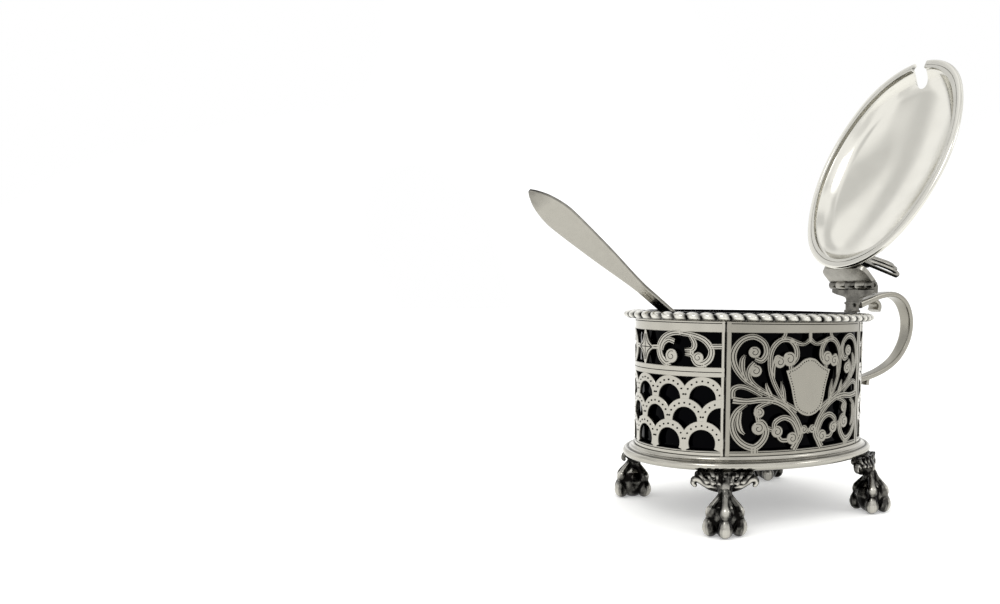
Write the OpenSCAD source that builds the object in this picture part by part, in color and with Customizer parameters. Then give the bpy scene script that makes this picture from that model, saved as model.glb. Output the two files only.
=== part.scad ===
// Oval pierced mustard pot: four soldered panels on a base moulding and claw-and-ball feet,
// gadroon rim, glass liner, strap handle, hinged lid with thumbpiece, and a mustard spoon.

/* [Body] */
// Half length of the oval body over its panels
body_half_l = 38; // [36:0.5:41]
// Half width of the oval body over its panels
body_half_w = 30; // [29:0.5:32]
// Radius of the two rounded ends, as a share of the half width
end_share = 0.9; // [0.84:0.01:0.94]
// Height of the pierced panels
panel_h = 38.4; // [36:0.4:42]
// Thickness of the pierced panels
wall_t = 1; // [0.8:0.1:1.2]

/* [Piercing] */
// Plain edge beside each panel seam
seam_edge = 1.4; // [1.2:0.1:2]
// Plain strip under the rim
top_strip = 3.2; // [2.8:0.1:4]
// Plain strip over the base
bottom_strip = 1.5; // [1.2:0.1:2.2]
// Width of the side panels' scrolls, as a share of their drawn width
side_scroll = 1.2; // [1:0.05:1.3]
// Width of the end bands' scrolls, as a share of their drawn width
band_scroll = 1.3; // [1:0.05:1.4]
// Height of the scroll band of the end panels
band_h = 9.8; // [9:0.1:10.6]
// Height of the plain bar under the scroll band
bar_h = 2.9; // [2:0.1:3.5]
// Scales across each end panel
scale_count = 5; // [4:1:6]
// Height from one row of scales to the next
scale_rise = 6.35; // [5.8:0.05:6.8]
// Width of the metal arch of each scale
scale_band = 2.6; // [2.2:0.1:3]

/* [Base and rim] */
// Height of the base moulding
base_h = 3.6; // [3:0.1:4.5]
// How far the base moulding stands out from the panels
base_over = 3.6; // [3:0.1:4.2]
// Radius of the half-round at the foot of the base moulding
base_round_r = 1.15; // [0.9:0.05:1.3]
// Height of the gadroon border
rim_h = 2.4; // [2:0.1:3]
// How far the gadroon border stands out from the panels
rim_over = 3.5; // [3:0.1:4]
// Lobes round the gadroon border
gadroon_count = 56; // [40:2:60]

/* [Liner] */
// Side clearance between the panels and the glass
liner_gap = 0.7; // [0.5:0.1:1]
// Wall thickness of the glass
liner_t = 1.8; // [1.4:0.1:2.2]
// Thickness of the glass floor
liner_floor = 2.6; // [2:0.1:3.5]
// Width of the ledge the glass stands on
ledge_w = 4; // [3:0.5:6]
// Thickness of the ledge
ledge_t = 1.2; // [1:0.1:1.6]
// Fit between the ledge and the base moulding
ledge_fit = 0.1; // [0.08:0.01:0.2]
// Height of the ledge over the foot of the base moulding
ledge_rise = 0.6; // [0.4:0.1:1]

/* [Feet] */
// Height of the feet under the base moulding
foot_h = 17.5; // [16:0.5:20]
// Distance of the ball's centre outside the panels
foot_reach = 5.4; // [5:0.1:6]
// Radius of the ball
ball_r = 4.4; // [4:0.1:4.8]
// Width of the shell knee
knee_w = 18.5; // [16:0.5:20]

/* [Lid] */
// How far the lid's edge stands out from the panels
lid_over = 2; // [1.5:0.1:2.6]
// Clearance between the shut lid and the rim
lid_gap = 0.2; // [0.1:0.05:0.5]
// How much longer the lid is than the body's oval
lid_long = 1.03; // [1:0.01:1.04]
// Width of the lid's flat border
border_w = 3; // [2.6:0.1:3.5]
// Thickness of the lid's flat border
border_t = 1.2; // [1:0.1:1.5]
// Radius of the lid's turned edge
edge_r = 0.8; // [0.7:0.05:1]
// Height of the lid's dome
dome_h = 10; // [8:0.5:13]
// Thickness of the lid's dome
dome_t = 0.9; // [0.8:0.1:1.2]
// Width of the spoon notch
notch_w = 6.2; // [5.8:0.1:7.4]
// Depth of the spoon notch
notch_d = 8; // [7.6:0.1:8.8]
// Angle of the open lid
lid_open = 116; // [100:1:118]

/* [Hinge] */
// Distance of the hinge axis behind the lid's edge
hinge_back = 2; // [1.8:0.1:2.6]
// Height of the hinge axis over the lid's seat
hinge_rise = 9.1; // [8.5:0.1:10]
// Length of the hinge barrel
barrel_w = 22; // [20:0.5:24]
// Radius of the hinge barrel
barrel_r = 1.45; // [1.3:0.05:1.6]
// Length of the two outer knuckles
outer_knuckle = 3.5; // [3:0.1:4]
// Gap between neighbouring knuckles
knuckle_gap = 0.15; // [0.1:0.01:0.25]
// Radius of the hinge pin
pin_r = 0.6; // [0.5:0.02:0.7]
// Radial running fit of the pin
pin_fit = 0.05; // [0.02:0.01:0.08]
// How far the pin ends lie inside the barrel
pin_recess = 0.5; // [0.3:0.1:1]
// Thickness of the hinge leaves
leaf_t = 1.6; // [1.4:0.1:1.8]
// Width of the post under the hinge
post_w = 6.8; // [6:0.1:8]
// Height of the post under the hinge
post_h = 3.5; // [3:0.1:4]
// Clearance between the post and the shut lid
post_clear = 0.6; // [0.5:0.1:1]

/* [Thumbpiece] */
// Radius of the shell at the lid's border
shell_foot_r = 9; // [8.8:0.1:10]
// Radius of the shell at its top
shell_top_r = 13; // [12:0.1:14]
// Height of the shell over the hinge axis
shell_rise = 8.6; // [7:0.1:9.4]
// Thickness of the shell
shell_t = 1.2; // [1:0.1:1.5]
// Half angle that the shell spans
shell_half_a = 58; // [54:1:60]
// Lobes across the shell
lobe_count = 9; // [7:2:9]

/* [Handle] */
// How far the handle stands out behind the panels
handle_reach = 31.5; // [29:0.5:34]
// Width of the strap at its top
strap_top_w = 6.2; // [5.6:0.1:7]
// Width of the strap at its lower end
strap_low_w = 4.2; // [3.6:0.1:5]
// Thickness of the strap
strap_t = 2; // [1.8:0.1:2.4]
// Height of the handle's lower end over the base moulding
handle_low = 17; // [16:0.2:18]

/* [Spoon] */
// Length of the spoon
spoon_l = 117; // [110:1:122]
// Lean of the spoon from the level
spoon_lean = 36.8; // [36:0.2:38]
// Turn of the spoon about its own length
spoon_roll = 33; // [0:1:35]
// Width of the bowl
bowl_w = 16; // [14:0.5:18]
// Depth of the bowl
bowl_d = 4.2; // [3:0.2:5]
// Width of the flat end of the spoon's handle
grip_w = 10.4; // [9:0.2:11]
// Width of the spoon's shank
shank_w = 3.3; // [3:0.1:3.6]
// Clearance between the shank and the glass
spoon_gap = 0.3; // [0.2:0.05:0.6]

/* [Hidden] */
$fn = 96;
// Widening of drawn scrolls, changed where an ornament is placed
$scroll = 1;
silver = "#cfcec9";
glass = "#10122c";
// Half width and height at which the side ornament is drawn, and width and height of the drawn scroll band
side_drawing = [24.2, 38.4];
band_drawing = [26.63, 9.8];
// Cuts run past the faces they open by this much, and neighbouring cuts overlap by the kerf
past = 1;
kerf = 0.02;
// Four-arc oval: the end and side radius, the arc centres and the angle where the arcs join
end_r = body_half_w * end_share;
side_r = (pow(body_half_l - end_r, 2) + pow(body_half_w, 2) - pow(end_r, 2)) / (2 * (body_half_w - end_r));
end_c = body_half_l - end_r;
side_c = side_r - body_half_w;
joint_a = atan2(side_c, end_c);
end_len = end_r * joint_a * PI / 180;
side_len = side_r * (90 - joint_a) * PI / 180;
quarter = end_len + side_len;
// Heights
panel_z = foot_h + base_h;
rim_z = panel_z + panel_h;
rim_top = rim_z + rim_h;
ledge_top = foot_h + ledge_rise + ledge_t;
liner_top = rim_top;
lid_z = rim_top + lid_gap;
hinge_z = lid_z + hinge_rise;
hinge_x = body_half_l + lid_over + hinge_back;
// Thickness of the base moulding inside the panels' outer face
base_in = wall_t + 0.2;
ledge_out = base_in + ledge_fit;
// Glass faces, measured from the panels' outer face
liner_out = wall_t + liner_gap;
liner_in = liner_out + liner_t;
// Scales
scale_pitch = 2 * (end_len - seam_edge) / scale_count;
arch_overlap = 1.15;
arch_out_r = scale_pitch / 2 + arch_overlap;
arch_in_r = arch_out_r - scale_band;
band_v = panel_h - top_strip - band_h;
bar_v = band_v - bar_h;
arch_lap = 0.2;
scale_v = bar_v - arch_out_r + arch_lap;
// Lid
lid_l = body_half_l + lid_over;
lid_w = body_half_w + lid_over;
dome_lap = 1;
dome_l = lid_l - border_w + dome_lap;
dome_w = lid_w - border_w + dome_lap;
dome_z = lid_z + border_t;
shoulder_r = 14;
shoulder_a = 33;
shoulder_x = dome_l - shoulder_r * cos(shoulder_a);
shoulder_z = -shoulder_r * sin(shoulder_a);
crown_r = (pow(shoulder_r, 2) - pow(shoulder_x, 2) - pow(shoulder_z - dome_h, 2))
    / (2 * (shoulder_z - dome_h + shoulder_r));
crown_a = atan2(shoulder_x, shoulder_z - dome_h + crown_r);
// Hinge
inner_knuckle = (barrel_w - 2 * outer_knuckle) / 3;
post_top = rim_top + post_h;
leaf_fit = 0.1;
post_back = hinge_x + leaf_fit + leaf_t;
post_d = post_back - lid_l - post_clear;
leaf_low = lid_z + 2 * edge_r - hinge_z;
// Spoon
shank_t = 1.15;
spoon_lift = shank_w / 2 * sin(spoon_roll) + shank_t * cos(spoon_roll) + spoon_gap;
cross_x = -(body_half_l - liner_in) + spoon_lift * sin(spoon_lean);
cross_z = liner_top + spoon_lift * cos(spoon_lean);
bowl_clear = 1.5;
spoon_under = (cross_z - ledge_top - liner_floor - bowl_clear) / sin(spoon_lean);

// Smooth curve through a row of points
function blend(a, b, c, d, t) = 0.5 * (2 * b + (c - a) * t + (2 * a - 5 * b + 4 * c - d) * t * t
    + (3 * b - a - 3 * c + d) * t * t * t);
function curve(p, n) = [
    for (i = [0 : (len(p) - 1) * n])
        let (k = min(floor(i / n), len(p) - 2))
            blend(p[max(k - 1, 0)], p[k], p[k + 1], p[min(k + 2, len(p) - 1)], i / n - k)
];
function heading(c, i) =
    let (d = c[min(i + 1, len(c) - 1)] - c[max(i - 1, 0)])
        [d[0], d[1]] / norm([d[0], d[1]]);
function edge(c, side) = [
    for (i = [0 : len(c) - 1])
        let (h = heading(c, i), w = side * c[i][2] / 2)
            [c[i][0] - w * h[1], c[i][1] + w * h[0]]
];
function back_to_front(p) = [for (i = [len(p) - 1 : -1 : 0]) p[i]];

// Ribbon of metal along a curve, each point given as across, up and width, widened by $scroll
module ribbon(p, n = 4) {
    c = curve([for (q = p) [q[0], q[1], $scroll * q[2]]], n);
    polygon(concat(edge(c, 1), back_to_front(edge(c, -1))));
}

module boss(x, y, r) {
    translate([x, y])
        circle($scroll * r, $fn = 16);
}

// Point of the oval at a distance along it from the handle end, moved out by off
function oval_quarter(u, off) = u < end_len
    ? let (a = u / end_r * 180 / PI)
        [end_c + (end_r + off) * cos(a), (end_r + off) * sin(a)]
    : let (b = joint_a + (u - end_len) / side_r * 180 / PI)
        [(side_r + off) * cos(b), (side_r + off) * sin(b) - side_c];
function oval_at(s, off) =
    let (
        q = floor(s / quarter),
        u = s - q * quarter,
        p = oval_quarter(q % 2 == 0 ? u : quarter - u, off)
    )
        [q % 4 == 0 || q % 4 == 3 ? p[0] : -p[0], q % 4 < 2 ? p[1] : -p[1]];

// Flat plate with the oval's outline
module oval_plate(off, h) {
    steps = 96;
    linear_extrude(h)
        polygon([for (i = [0 : steps - 1]) oval_at(4 * quarter * i / steps, off)]);
}

// Section swept along one end or one side, drawn with the panels' outer face at x = 0
module end_sweep() {
    translate([end_c, 0, 0])
        rotate_extrude(angle = 2 * joint_a, start = -joint_a)
            translate([end_r, 0])
                children();
}

module side_sweep() {
    translate([0, -side_c, 0])
        rotate_extrude(angle = 180 - 2 * joint_a, start = joint_a)
            translate([side_r, 0])
                children();
}

// Points of an arc about a centre
function arc(x, y, r, from, to, n) = [
    for (i = [0 : n])
        let (a = from + (to - from) * i / n)
            [x + r * cos(a), y + r * sin(a)]
];

// Faces of a tube whose rings are numbered one after another
function tube_faces(rings, n, closed) = [
    for (i = [0 : rings - (closed ? 1 : 2)], j = [0 : n - 1])
        let (
            a = i * n + j,
            b = i * n + (j + 1) % n,
            c = ((i + 1) % rings) * n + (j + 1) % n,
            d = ((i + 1) % rings) * n + j
        )
            each [[a, b, c], [a, c, d]]
];

// Section of the base moulding: a half-round under a step and a cove
function base_section() =
    let (step_x = base_over / 2, fillet_h = 0.25, cove_r = base_h - 2 * base_round_r - fillet_h)
        concat(
            [[-base_in, foot_h]],
            arc(base_over - base_round_r, foot_h + base_round_r, base_round_r, -90, 90, 6),
            [[step_x, foot_h + 2 * base_round_r]],
            arc(step_x, panel_z, cove_r, 270, 180, 4),
            [[-base_in, panel_z]]
        );

module base_moulding() {
    steps = 64;
    section = base_section();
    color(silver)
        polyhedron(
            points = [
                for (i = [0 : steps - 1], c = section)
                    let (p = oval_at(4 * quarter * i / steps, c[0]))
                        [p[0], p[1], c[1]]
            ],
            faces = tube_faces(steps, len(section), true)
        );
}

module liner_ledge() {
    color(silver)
        translate([0, 0, ledge_top - ledge_t])
            difference() {
                oval_plate(-ledge_out, ledge_t);
                translate([0, 0, -past])
                    oval_plate(-ledge_out - ledge_w, ledge_t + 2 * past);
            }
}

module panel_section() {
    translate([-wall_t, panel_z])
        square([wall_t, panel_h]);
}

// Opening sawn through an end panel, its middle at a distance along the arc
module end_cut(s) {
    rotate([0, 0, s / end_r * 180 / PI])
        translate([end_r - wall_t - past, 0, panel_z])
            rotate([90, 0, 90])
                linear_extrude(wall_t + 2 * past)
                    children();
}

// Clear space of one row of scales, in a field cut off at the panel's seam edges
module scale_field(s, low, high) {
    intersection() {
        children();
        translate([-end_len + seam_edge - s, low])
            square([2 * (end_len - seam_edge), high - low]);
    }
}

module arches_below() {
    for (k = [-0.5, 0.5])
        translate([k * scale_pitch, -scale_rise])
            circle(arch_out_r);
}

module scale_row(row, shift) {
    v = scale_v - row * scale_rise;
    half = (scale_count - 1) / 2;
    offset_k = (row % 2 == shift) ? 0 : 0.5;
    for (k = [-half - offset_k : 1 : half + offset_k])
        end_cut(k * scale_pitch)
            scale_field(k * scale_pitch, bottom_strip, bar_v)
                translate([0, v])
                    difference() {
                        circle(arch_in_r);
                        if (row < 2)
                            arches_below();
                    }
}

// Small three-cornered openings between the top arches and the bar
module bar_row(shift) {
    half = (scale_count - 1) / 2;
    offset_k = shift == 0 ? 0.5 : 0;
    for (k = [-half - offset_k : 1 : half + offset_k])
        end_cut(k * scale_pitch)
            scale_field(k * scale_pitch, scale_v, bar_v)
                difference() {
                    translate([-scale_pitch / 2, scale_v])
                        square([scale_pitch, bar_v - scale_v]);
                    for (n = [-0.5, 0.5])
                        translate([n * scale_pitch, scale_v])
                            circle(arch_out_r);
                }
}

// Scrolls of half the end band, drawn across and up from the middle of its window
module band_scrolls() {
    ribbon([[-0.6, 4.6, 1.2], [-5, 4.0, 1.3], [-8.5, 2.6, 1.5], [-10.4, 0, 1.5], [-9.9, -2.6, 1.6],
        [-8.1, -4, 1.6], [-6.3, -3.9, 1.5], [-5.1, -2.5, 1.3]]);
    boss(-6.6, -2.3, 1.25);
    ribbon([[-3.9, 4.2, 1], [-5.4, 1.8, 1.3], [-4.9, 0, 1.3], [-2.6, -0.2, 0.8]]);
    ribbon([[-5.3, -2.4, 1.3], [-4.5, -1.5, 1.2], [-2.7, -1.4, 0.8]]);
    ribbon([[-4.7, -1.3, 1], [-4.8, -0.2, 1]]);
    ribbon([[-1.2, 4.7, 1.3], [1.8, 4.4, 1.3], [4.7, 3, 1.5], [6.4, 0.4, 1.7], [5.9, -2.4, 1.7],
        [3.9, -4.2, 1.5], [2.1, -3.9, 1.3]]);
    boss(1.9, -2.1, 1.6);
    ribbon([[0.8, 2, 1.3], [2.9, 2.5, 1.3], [4.7, 1.4, 1.1], [5.5, -0.4, 1]]);
    ribbon([[6.4, 0.3, 1.1], [9.4, 0.1, 1]]);
    ribbon([[-13.6, 1, 1.2], [-10, 0.9, 1.3]]);
    ribbon([[-8.4, -4.1, 1.3], [-8.2, -5.4, 1.3]]);
    ribbon([[3.5, -4.2, 1.3], [3.2, -5.4, 1.3]]);
    ribbon([[-1, 4.6, 1.4], [-0.9, 5.6, 1.4]]);
}

// Lozenge in the middle of the end band, with hollow sides
module lozenge() {
    half_w = 4.9;
    half_h = 5.2;
    quarter_edge = curve([[half_w, 0], [1.95, 1.75], [0.35, half_h]], 4);
    for (x = [0, 1], y = [0, 1])
        mirror([x, 0])
            mirror([0, y])
                polygon(concat([[-kerf, -kerf], [half_w, -kerf]], quarter_edge, [[-kerf, half_h]]));
}

// Openings of half the scroll band
module band_openings() {
    window_w = end_len - seam_edge;
    wide = window_w / band_drawing[0];
    tall = band_h / band_drawing[1];
    offset(delta = kerf)
        difference() {
            translate([-window_w / 2, -band_h / 2])
                square([window_w, band_h]);
            scale([wide, tall])
                band_scrolls($scroll = band_scroll);
            translate([window_w / 2, 0])
                scale([wide, tall])
                    lozenge();
        }
}

module end_panel(shift) {
    window_w = end_len - seam_edge;
    difference() {
        end_sweep()
            panel_section();
        translate([end_c, 0, 0]) {
            for (row = [0 : 2])
                scale_row(row, shift);
            bar_row(shift);
            for (m = [0, 1])
                mirror([0, m, 0])
                    end_cut(-window_w / 2 - kerf / 2)
                        translate([0, band_v + band_h / 2])
                            band_openings();
        }
    }
}

module front_panel() {
    color(silver)
        rotate([0, 0, 180])
            end_panel(0);
}

module back_panel() {
    color(silver)
        end_panel(1);
}

// Left half of the side panel's foliage, drawn across from the middle and up from the panel's foot
module foliage() {
    // Corner scroll at the top
    ribbon([[-16.2, 19, 1.1], [-20.2, 21.6, 1.2], [-23, 25.4, 1.5], [-23.7, 29.4, 1.6], [-21.7, 33, 1.5],
        [-18.4, 34.2, 1.5], [-15.3, 32.6, 1.4], [-14.4, 29.7, 1.6], [-15.8, 27.5, 1.5], [-17.8, 28, 1.2]]);
    boss(-18, 29.8, 1.4);
    ribbon([[-20, 21.4, 1], [-21.2, 24.6, 1.3], [-21.3, 27.4, 1.3], [-20.6, 29, 0.6]]);
    // Small scroll under it
    ribbon([[-14.2, 18.2, 1], [-17.4, 20.2, 1.1], [-19.3, 22.5, 1.2], [-19.3, 25, 1.3], [-17.9, 26.8, 1.3]]);
    boss(-17.6, 24.5, 1.5);
    // Main stem with the bud at its end
    ribbon([[-23.6, 16.2, 1.8], [-20, 15.8, 1.5], [-15.4, 16.2, 1.5], [-11, 15.5, 1.5], [-7, 13.1, 1.4],
        [-4, 9.5, 1.5], [-2.8, 5.9, 1.6], [-4.2, 3.2, 1.7], [-5.4, 1.4, 1.9]]);
    ribbon([[-15.6, 17.2, 1], [-19.4, 19.4, 1.2], [-22, 20, 1.3], [-23.7, 19, 1.4], [-23.8, 16.6, 1.4]]);
    ribbon([[-17, 19, 1.1], [-13, 17.3, 1.2], [-9, 15.4, 1.2], [-6.4, 14, 1.3], [-4.2, 12.7, 1.5]]);
    // Scroll beside the shield
    ribbon([[-7.2, 13.8, 1], [-10, 17.4, 1.2], [-12.4, 21.9, 1.2], [-13.4, 26.4, 1.3], [-12.8, 30.5, 1.4],
        [-10.4, 33.1, 1.4], [-7.3, 33.3, 1.4], [-5.1, 31.1, 1.5], [-4.8, 28.4, 1.6], [-6.4, 26.5, 1.5]]);
    boss(-7.2, 27.8, 1.8);
    ribbon([[-6.9, 26.6, 1.3], [-6.6, 24.9, 1.3]]);
    ribbon([[-12.4, 22.4, 1], [-12.3, 25.8, 1.1], [-11.3, 28.4, 1.1], [-10, 27.9, 1]]);
    boss(-10.4, 27, 1.5);
    ribbon([[-9.2, 27.2, 1.2], [-8.2, 27.4, 1.2]]);
    ribbon([[-8.7, 15.6, 1.2], [-9.2, 18.7, 1.3], [-9.8, 21.5, 0.4]]);
    ribbon([[-13, 17.3, 1.2], [-14, 19.3, 1.1], [-14.5, 21, 0.4]]);
    // Crest over the shield
    ribbon([[-7.2, 33.4, 1.3], [-4.1, 32.3, 1.2], [-2, 32.2, 1], [0.3, 33.6, 1.4]]);
    ribbon([[-9.8, 33.4, 1.2], [-8.9, 34.6, 1], [-8.6, 36, 1]]);
    ribbon([[0, 32.8, 1.3], [0, 36, 1.3]]);
    // Corner scroll at the foot
    ribbon([[-20, 15, 1], [-22.5, 12.9, 1.4], [-23.7, 9.6, 1.5], [-22.9, 6, 1.6], [-20.6, 3.4, 1.7],
        [-17.5, 2.5, 1.8], [-15, 4.6, 1.7], [-14.2, 7.3, 1.7], [-15.4, 9.6, 1.6], [-17.2, 9.8, 1.3]]);
    boss(-16.5, 8, 1.6);
    ribbon([[-21.6, 13, 0.9], [-22, 10, 1.2], [-21.5, 7.6, 1.2], [-20.4, 6.4, 0.6]]);
    ribbon([[-12.4, 15.6, 1], [-15.1, 14.8, 1.2], [-17, 13.5, 1.3], [-16.8, 11.6, 1.3], [-16.4, 9.8, 1.2]]);
    boss(-16.4, 12.5, 1.3);
    // Arch and scrolls at the foot
    ribbon([[-14, 8.1, 1.2], [-12, 7.5, 1.2], [-11.4, 9.6, 1.4], [-8.8, 10.9, 1.4], [-6, 9.9, 1.5],
        [-4.4, 7.6, 1.5], [-3.6, 5, 1.4]]);
    boss(-10.8, 6.9, 1.5);
    ribbon([[-10.9, 6.6, 1.2], [-9.4, 4.4, 1.1], [-6.6, 4.3, 1.2]]);
    boss(-5.7, 4.7, 1.6);
    ribbon([[-3, 6, 1.2], [-1.7, 7.3, 1.3], [0.2, 6.3, 1.2]]);
    boss(-1.6, 7.1, 1.1);
    ribbon([[-17.5, 2.4, 1.8], [-17.5, 0.8, 1.8]]);
}

// Half of the plain shield
module shield_half() {
    top = curve([[0.1, 28.2], [-2.2, 27.7], [-4.2, 26.3], [-6.2, 25.2], [-8.4, 24.5]], 3);
    flank = curve([[-8.4, 24.5], [-7.5, 22], [-6.6, 19.4], [-5.9, 16.4], [-5, 13.6], [-3.3, 11.9],
        [-1.4, 11.1], [0.1, 10.9]], 3);
    polygon(concat(top, flank));
}

// Bends the drawing's width to the chord of the panel's arc and fits it to the panel
module side_openings() {
    window_w = side_r * sin((side_len - seam_edge) / side_r * 180 / PI);
    wide = window_w / side_drawing[0];
    tall = panel_h / side_drawing[1];
    offset(delta = kerf)
        difference() {
            translate([-window_w, bottom_strip])
                square([2 * window_w, panel_h - top_strip - bottom_strip]);
            scale([wide, tall])
                for (m = [0, 1])
                    mirror([m, 0]) {
                        foliage($scroll = side_scroll);
                        shield_half();
                    }
        }
}

module side_panel() {
    color(silver)
        difference() {
            side_sweep()
                panel_section();
            translate([0, body_half_w + past, panel_z])
                rotate([90, 0, 0])
                    linear_extrude(body_half_w)
                        side_openings();
        }
}

module left_panel() {
    side_panel();
}

module right_panel() {
    rotate([0, 0, 180])
        side_panel();
}

// Height of a lobe across its width: round on top, sharp in the groove
function lobe(phase) = abs(cos(phase / 2));

// Section of the gadroon border at a step round the rim: lobes that lean along it by their slant
function gadroon_ring(i, per) =
    let (
        s = 4 * quarter * i / (gadroon_count * per),
        slant = 1.1,
        groove = 0.72,
        lobe_w = 0.6 * rim_over,
        lobe_h = 0.52 * rim_h,
        mid_x = rim_over - lobe_w,
        mid_z = rim_top - lobe_h,
        in_edge = oval_at(s, -wall_t),
        out_edge = oval_at(s, mid_x + 0.43 * lobe_w)
    )
        concat(
            [[in_edge[0], in_edge[1], rim_z], [out_edge[0], out_edge[1], rim_z]],
            [
                for (a = [-28, 12, 52, 92, 132])
                    let (
                        f = groove + (1 - groove) * lobe(360 * i / per + slant * a),
                        p = oval_at(s, mid_x + lobe_w * f * cos(a))
                    )
                        [p[0], p[1], mid_z + lobe_h * f * sin(a)]
            ],
            [[in_edge[0], in_edge[1], rim_z + 0.7 * rim_h]]
        );

module gadroon_rim() {
    per = 4;
    rings = gadroon_count * per;
    color(silver)
        polyhedron(
            points = [for (i = [0 : rings - 1]) each gadroon_ring(i, per)],
            faces = tube_faces(rings, 8, true)
        );
}

module glass_liner() {
    color(glass)
        translate([0, 0, ledge_top])
            difference() {
                oval_plate(-liner_out, liner_top - ledge_top);
                translate([0, 0, liner_floor])
                    oval_plate(-liner_in, liner_top - ledge_top);
            }
}

// Round-ended limb through points given as out, across, up and radius
module limb(p) {
    for (i = [0 : len(p) - 2])
        hull()
            for (k = [i, i + 1])
                translate([p[k][0], p[k][1], p[k][2]])
                    sphere(p[k][3], $fn = 8);
}

// Claw over the ball, turned about its upright axis
module talon(a) {
    r = ball_r;
    h = foot_h;
    translate([foot_reach, 0, 0])
        rotate([0, 0, a])
            limb([
                [0.2 * r, 0, 0.62 * h, 0.36 * r],
                [0.74 * r, 0, 0.52 * h, 0.46 * r],
                [r, 0, 0.37 * h, 0.4 * r],
                [1.1 * r, 0, 0.23 * h, 0.38 * r],
                [1.08 * r, 0, 0.09 * h, 0.42 * r]
            ]);
}

// One flute of the shell knee, at a share of its half width
module flute(f) {
    limb([
        [foot_reach + 0.5 - abs(f), 0.13 * knee_w * f, 0.72 * foot_h + abs(f), 0.065 * knee_w],
        [foot_reach - 1.4 - 1.1 * f * f, 0.38 * knee_w * f, 0.955 * foot_h, 0.09 * knee_w]
    ]);
}

// Leaf that curls down beside the shell
module leaf(side) {
    limb([
        [foot_reach - 3, side * 0.36 * knee_w, 0.943 * foot_h, 0.076 * knee_w],
        [foot_reach - 2.8, side * 0.46 * knee_w, 0.909 * foot_h, 0.06 * knee_w],
        [foot_reach - 2.2, side * 0.46 * knee_w, 0.829 * foot_h, 0.043 * knee_w]
    ]);
}

module foot() {
    flutes = 5;
    stand = 3 * foot_reach;
    intersection() {
        union() {
            translate([foot_reach, 0, 0.94 * ball_r])
                sphere(ball_r, $fn = 16);
            for (a = [0, 80, -80, 180])
                talon(a);
            limb([
                [foot_reach - 0.4, 0, 0.56 * foot_h, 0.5 * ball_r],
                [foot_reach - 1, 0, 0.76 * foot_h, 0.57 * ball_r],
                [foot_reach - 3, 0, 0.97 * foot_h, 0.68 * ball_r]
            ]);
            for (k = [0 : flutes - 1])
                flute(2 * k / (flutes - 1) - 1);
            for (side = [-1, 1])
                leaf(side);
        }
        translate([-stand, -stand, 0])
            cube([3 * stand, 2 * stand, foot_h]);
    }
}

// Stands a foot under the seam of two panels, facing out square to the wall
module foot_at(end, side) {
    color(silver)
        mirror([end, 0, 0])
            mirror([0, side, 0])
                translate([end_c, 0, 0])
                    rotate([0, 0, joint_a])
                        translate([end_r, 0, 0])
                            foot();
}

module foot_back_left() {
    foot_at(0, 0);
}

module foot_back_right() {
    foot_at(0, 1);
}

module foot_front_left() {
    foot_at(1, 0);
}

module foot_front_right() {
    foot_at(1, 1);
}

// Outline of the strap seen from the side, with the small scrolls at its ends
module strap_outline() {
    out = body_half_l + handle_reach;
    top = hinge_z - 2 * barrel_r;
    low = panel_z + handle_low;
    span = top - low;
    t = strap_t;
    ribbon([
        [post_back, post_top - 1, 1.3 * t],
        [post_back + 4, post_top + 0.4, 1.15 * t],
        [out - 15.5, top - 0.5, t],
        [out - 9, top - 0.1, t],
        [out - 3.7, top - 0.1 * span, t],
        [out - 1, top - 0.3 * span, t],
        [out - 1.8, top - 0.53 * span, t],
        [out - 6, top - 0.74 * span, t],
        [out - 12.5, top - 0.88 * span, t],
        [out - 20.5, top - 0.965 * span, t],
        [out - 27, low + 0.2, 1.2 * t],
        [body_half_l - 1.5, low, 1.4 * t]
    ], 5);
    ribbon([
        [post_back + 6.6, post_top + 1, 0.7 * t],
        [post_back + 9, post_top - 0.4, 0.8 * t],
        [post_back + 9, post_top - 2.6, 0.9 * t]
    ]);
    boss(post_back + 8.7, post_top - 2.4, 0.65 * t);
    ribbon([[out - 20.3, top - 0.965 * span, 0.7 * t], [out - 20.8, low - 1.4, 0.85 * t]]);
    boss(out - 20.8, low - 1.4, 0.5 * t);
}

// Taper of the strap seen from behind
module strap_taper(low, top) {
    polygon([
        [-strap_low_w / 2, low],
        [strap_low_w / 2, low],
        [strap_top_w / 2, top],
        [-strap_top_w / 2, top]
    ]);
}

module handle() {
    low = panel_z + handle_low;
    color(silver)
        difference() {
            intersection() {
                translate([0, strap_top_w, 0])
                    rotate([90, 0, 0])
                        linear_extrude(2 * strap_top_w)
                            offset(delta = kerf / 2)
                                strap_outline();
                rotate([90, 0, 90])
                    linear_extrude(body_half_l + handle_reach + past)
                        strap_taper(low - 2 * strap_t, hinge_z);
            }
            translate([end_c, 0, low - 3 * strap_t])
                cylinder(h = 6 * strap_t, r = end_r);
            translate([0, -strap_top_w, rim_top])
                cube([post_back, 2 * strap_top_w, hinge_z]);
        }
}

module stadium(w, d) {
    square([d, w - d], center = true);
    for (m = [-1, 1])
        translate([0, m * (w - d) / 2])
            circle(d / 2);
}

module hinge_post() {
    foot_t = 0.8;
    waist = 0.8;
    color(silver)
        translate([post_back - post_d / 2, 0, rim_top]) {
            linear_extrude(foot_t)
                stadium(post_w, post_d);
            linear_extrude(post_h)
                stadium(post_w - waist, post_d - waist);
            translate([0, 0, post_h - foot_t])
                linear_extrude(foot_t)
                    stadium(post_w, post_d);
        }
}

// Length of the hinge barrel from y = from to y = to, at the hinge axis
module knuckle(from, to, r) {
    translate([hinge_x, to, hinge_z])
        rotate([90, 0, 0])
            cylinder(h = to - from, r = r, $fn = 64);
}

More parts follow.
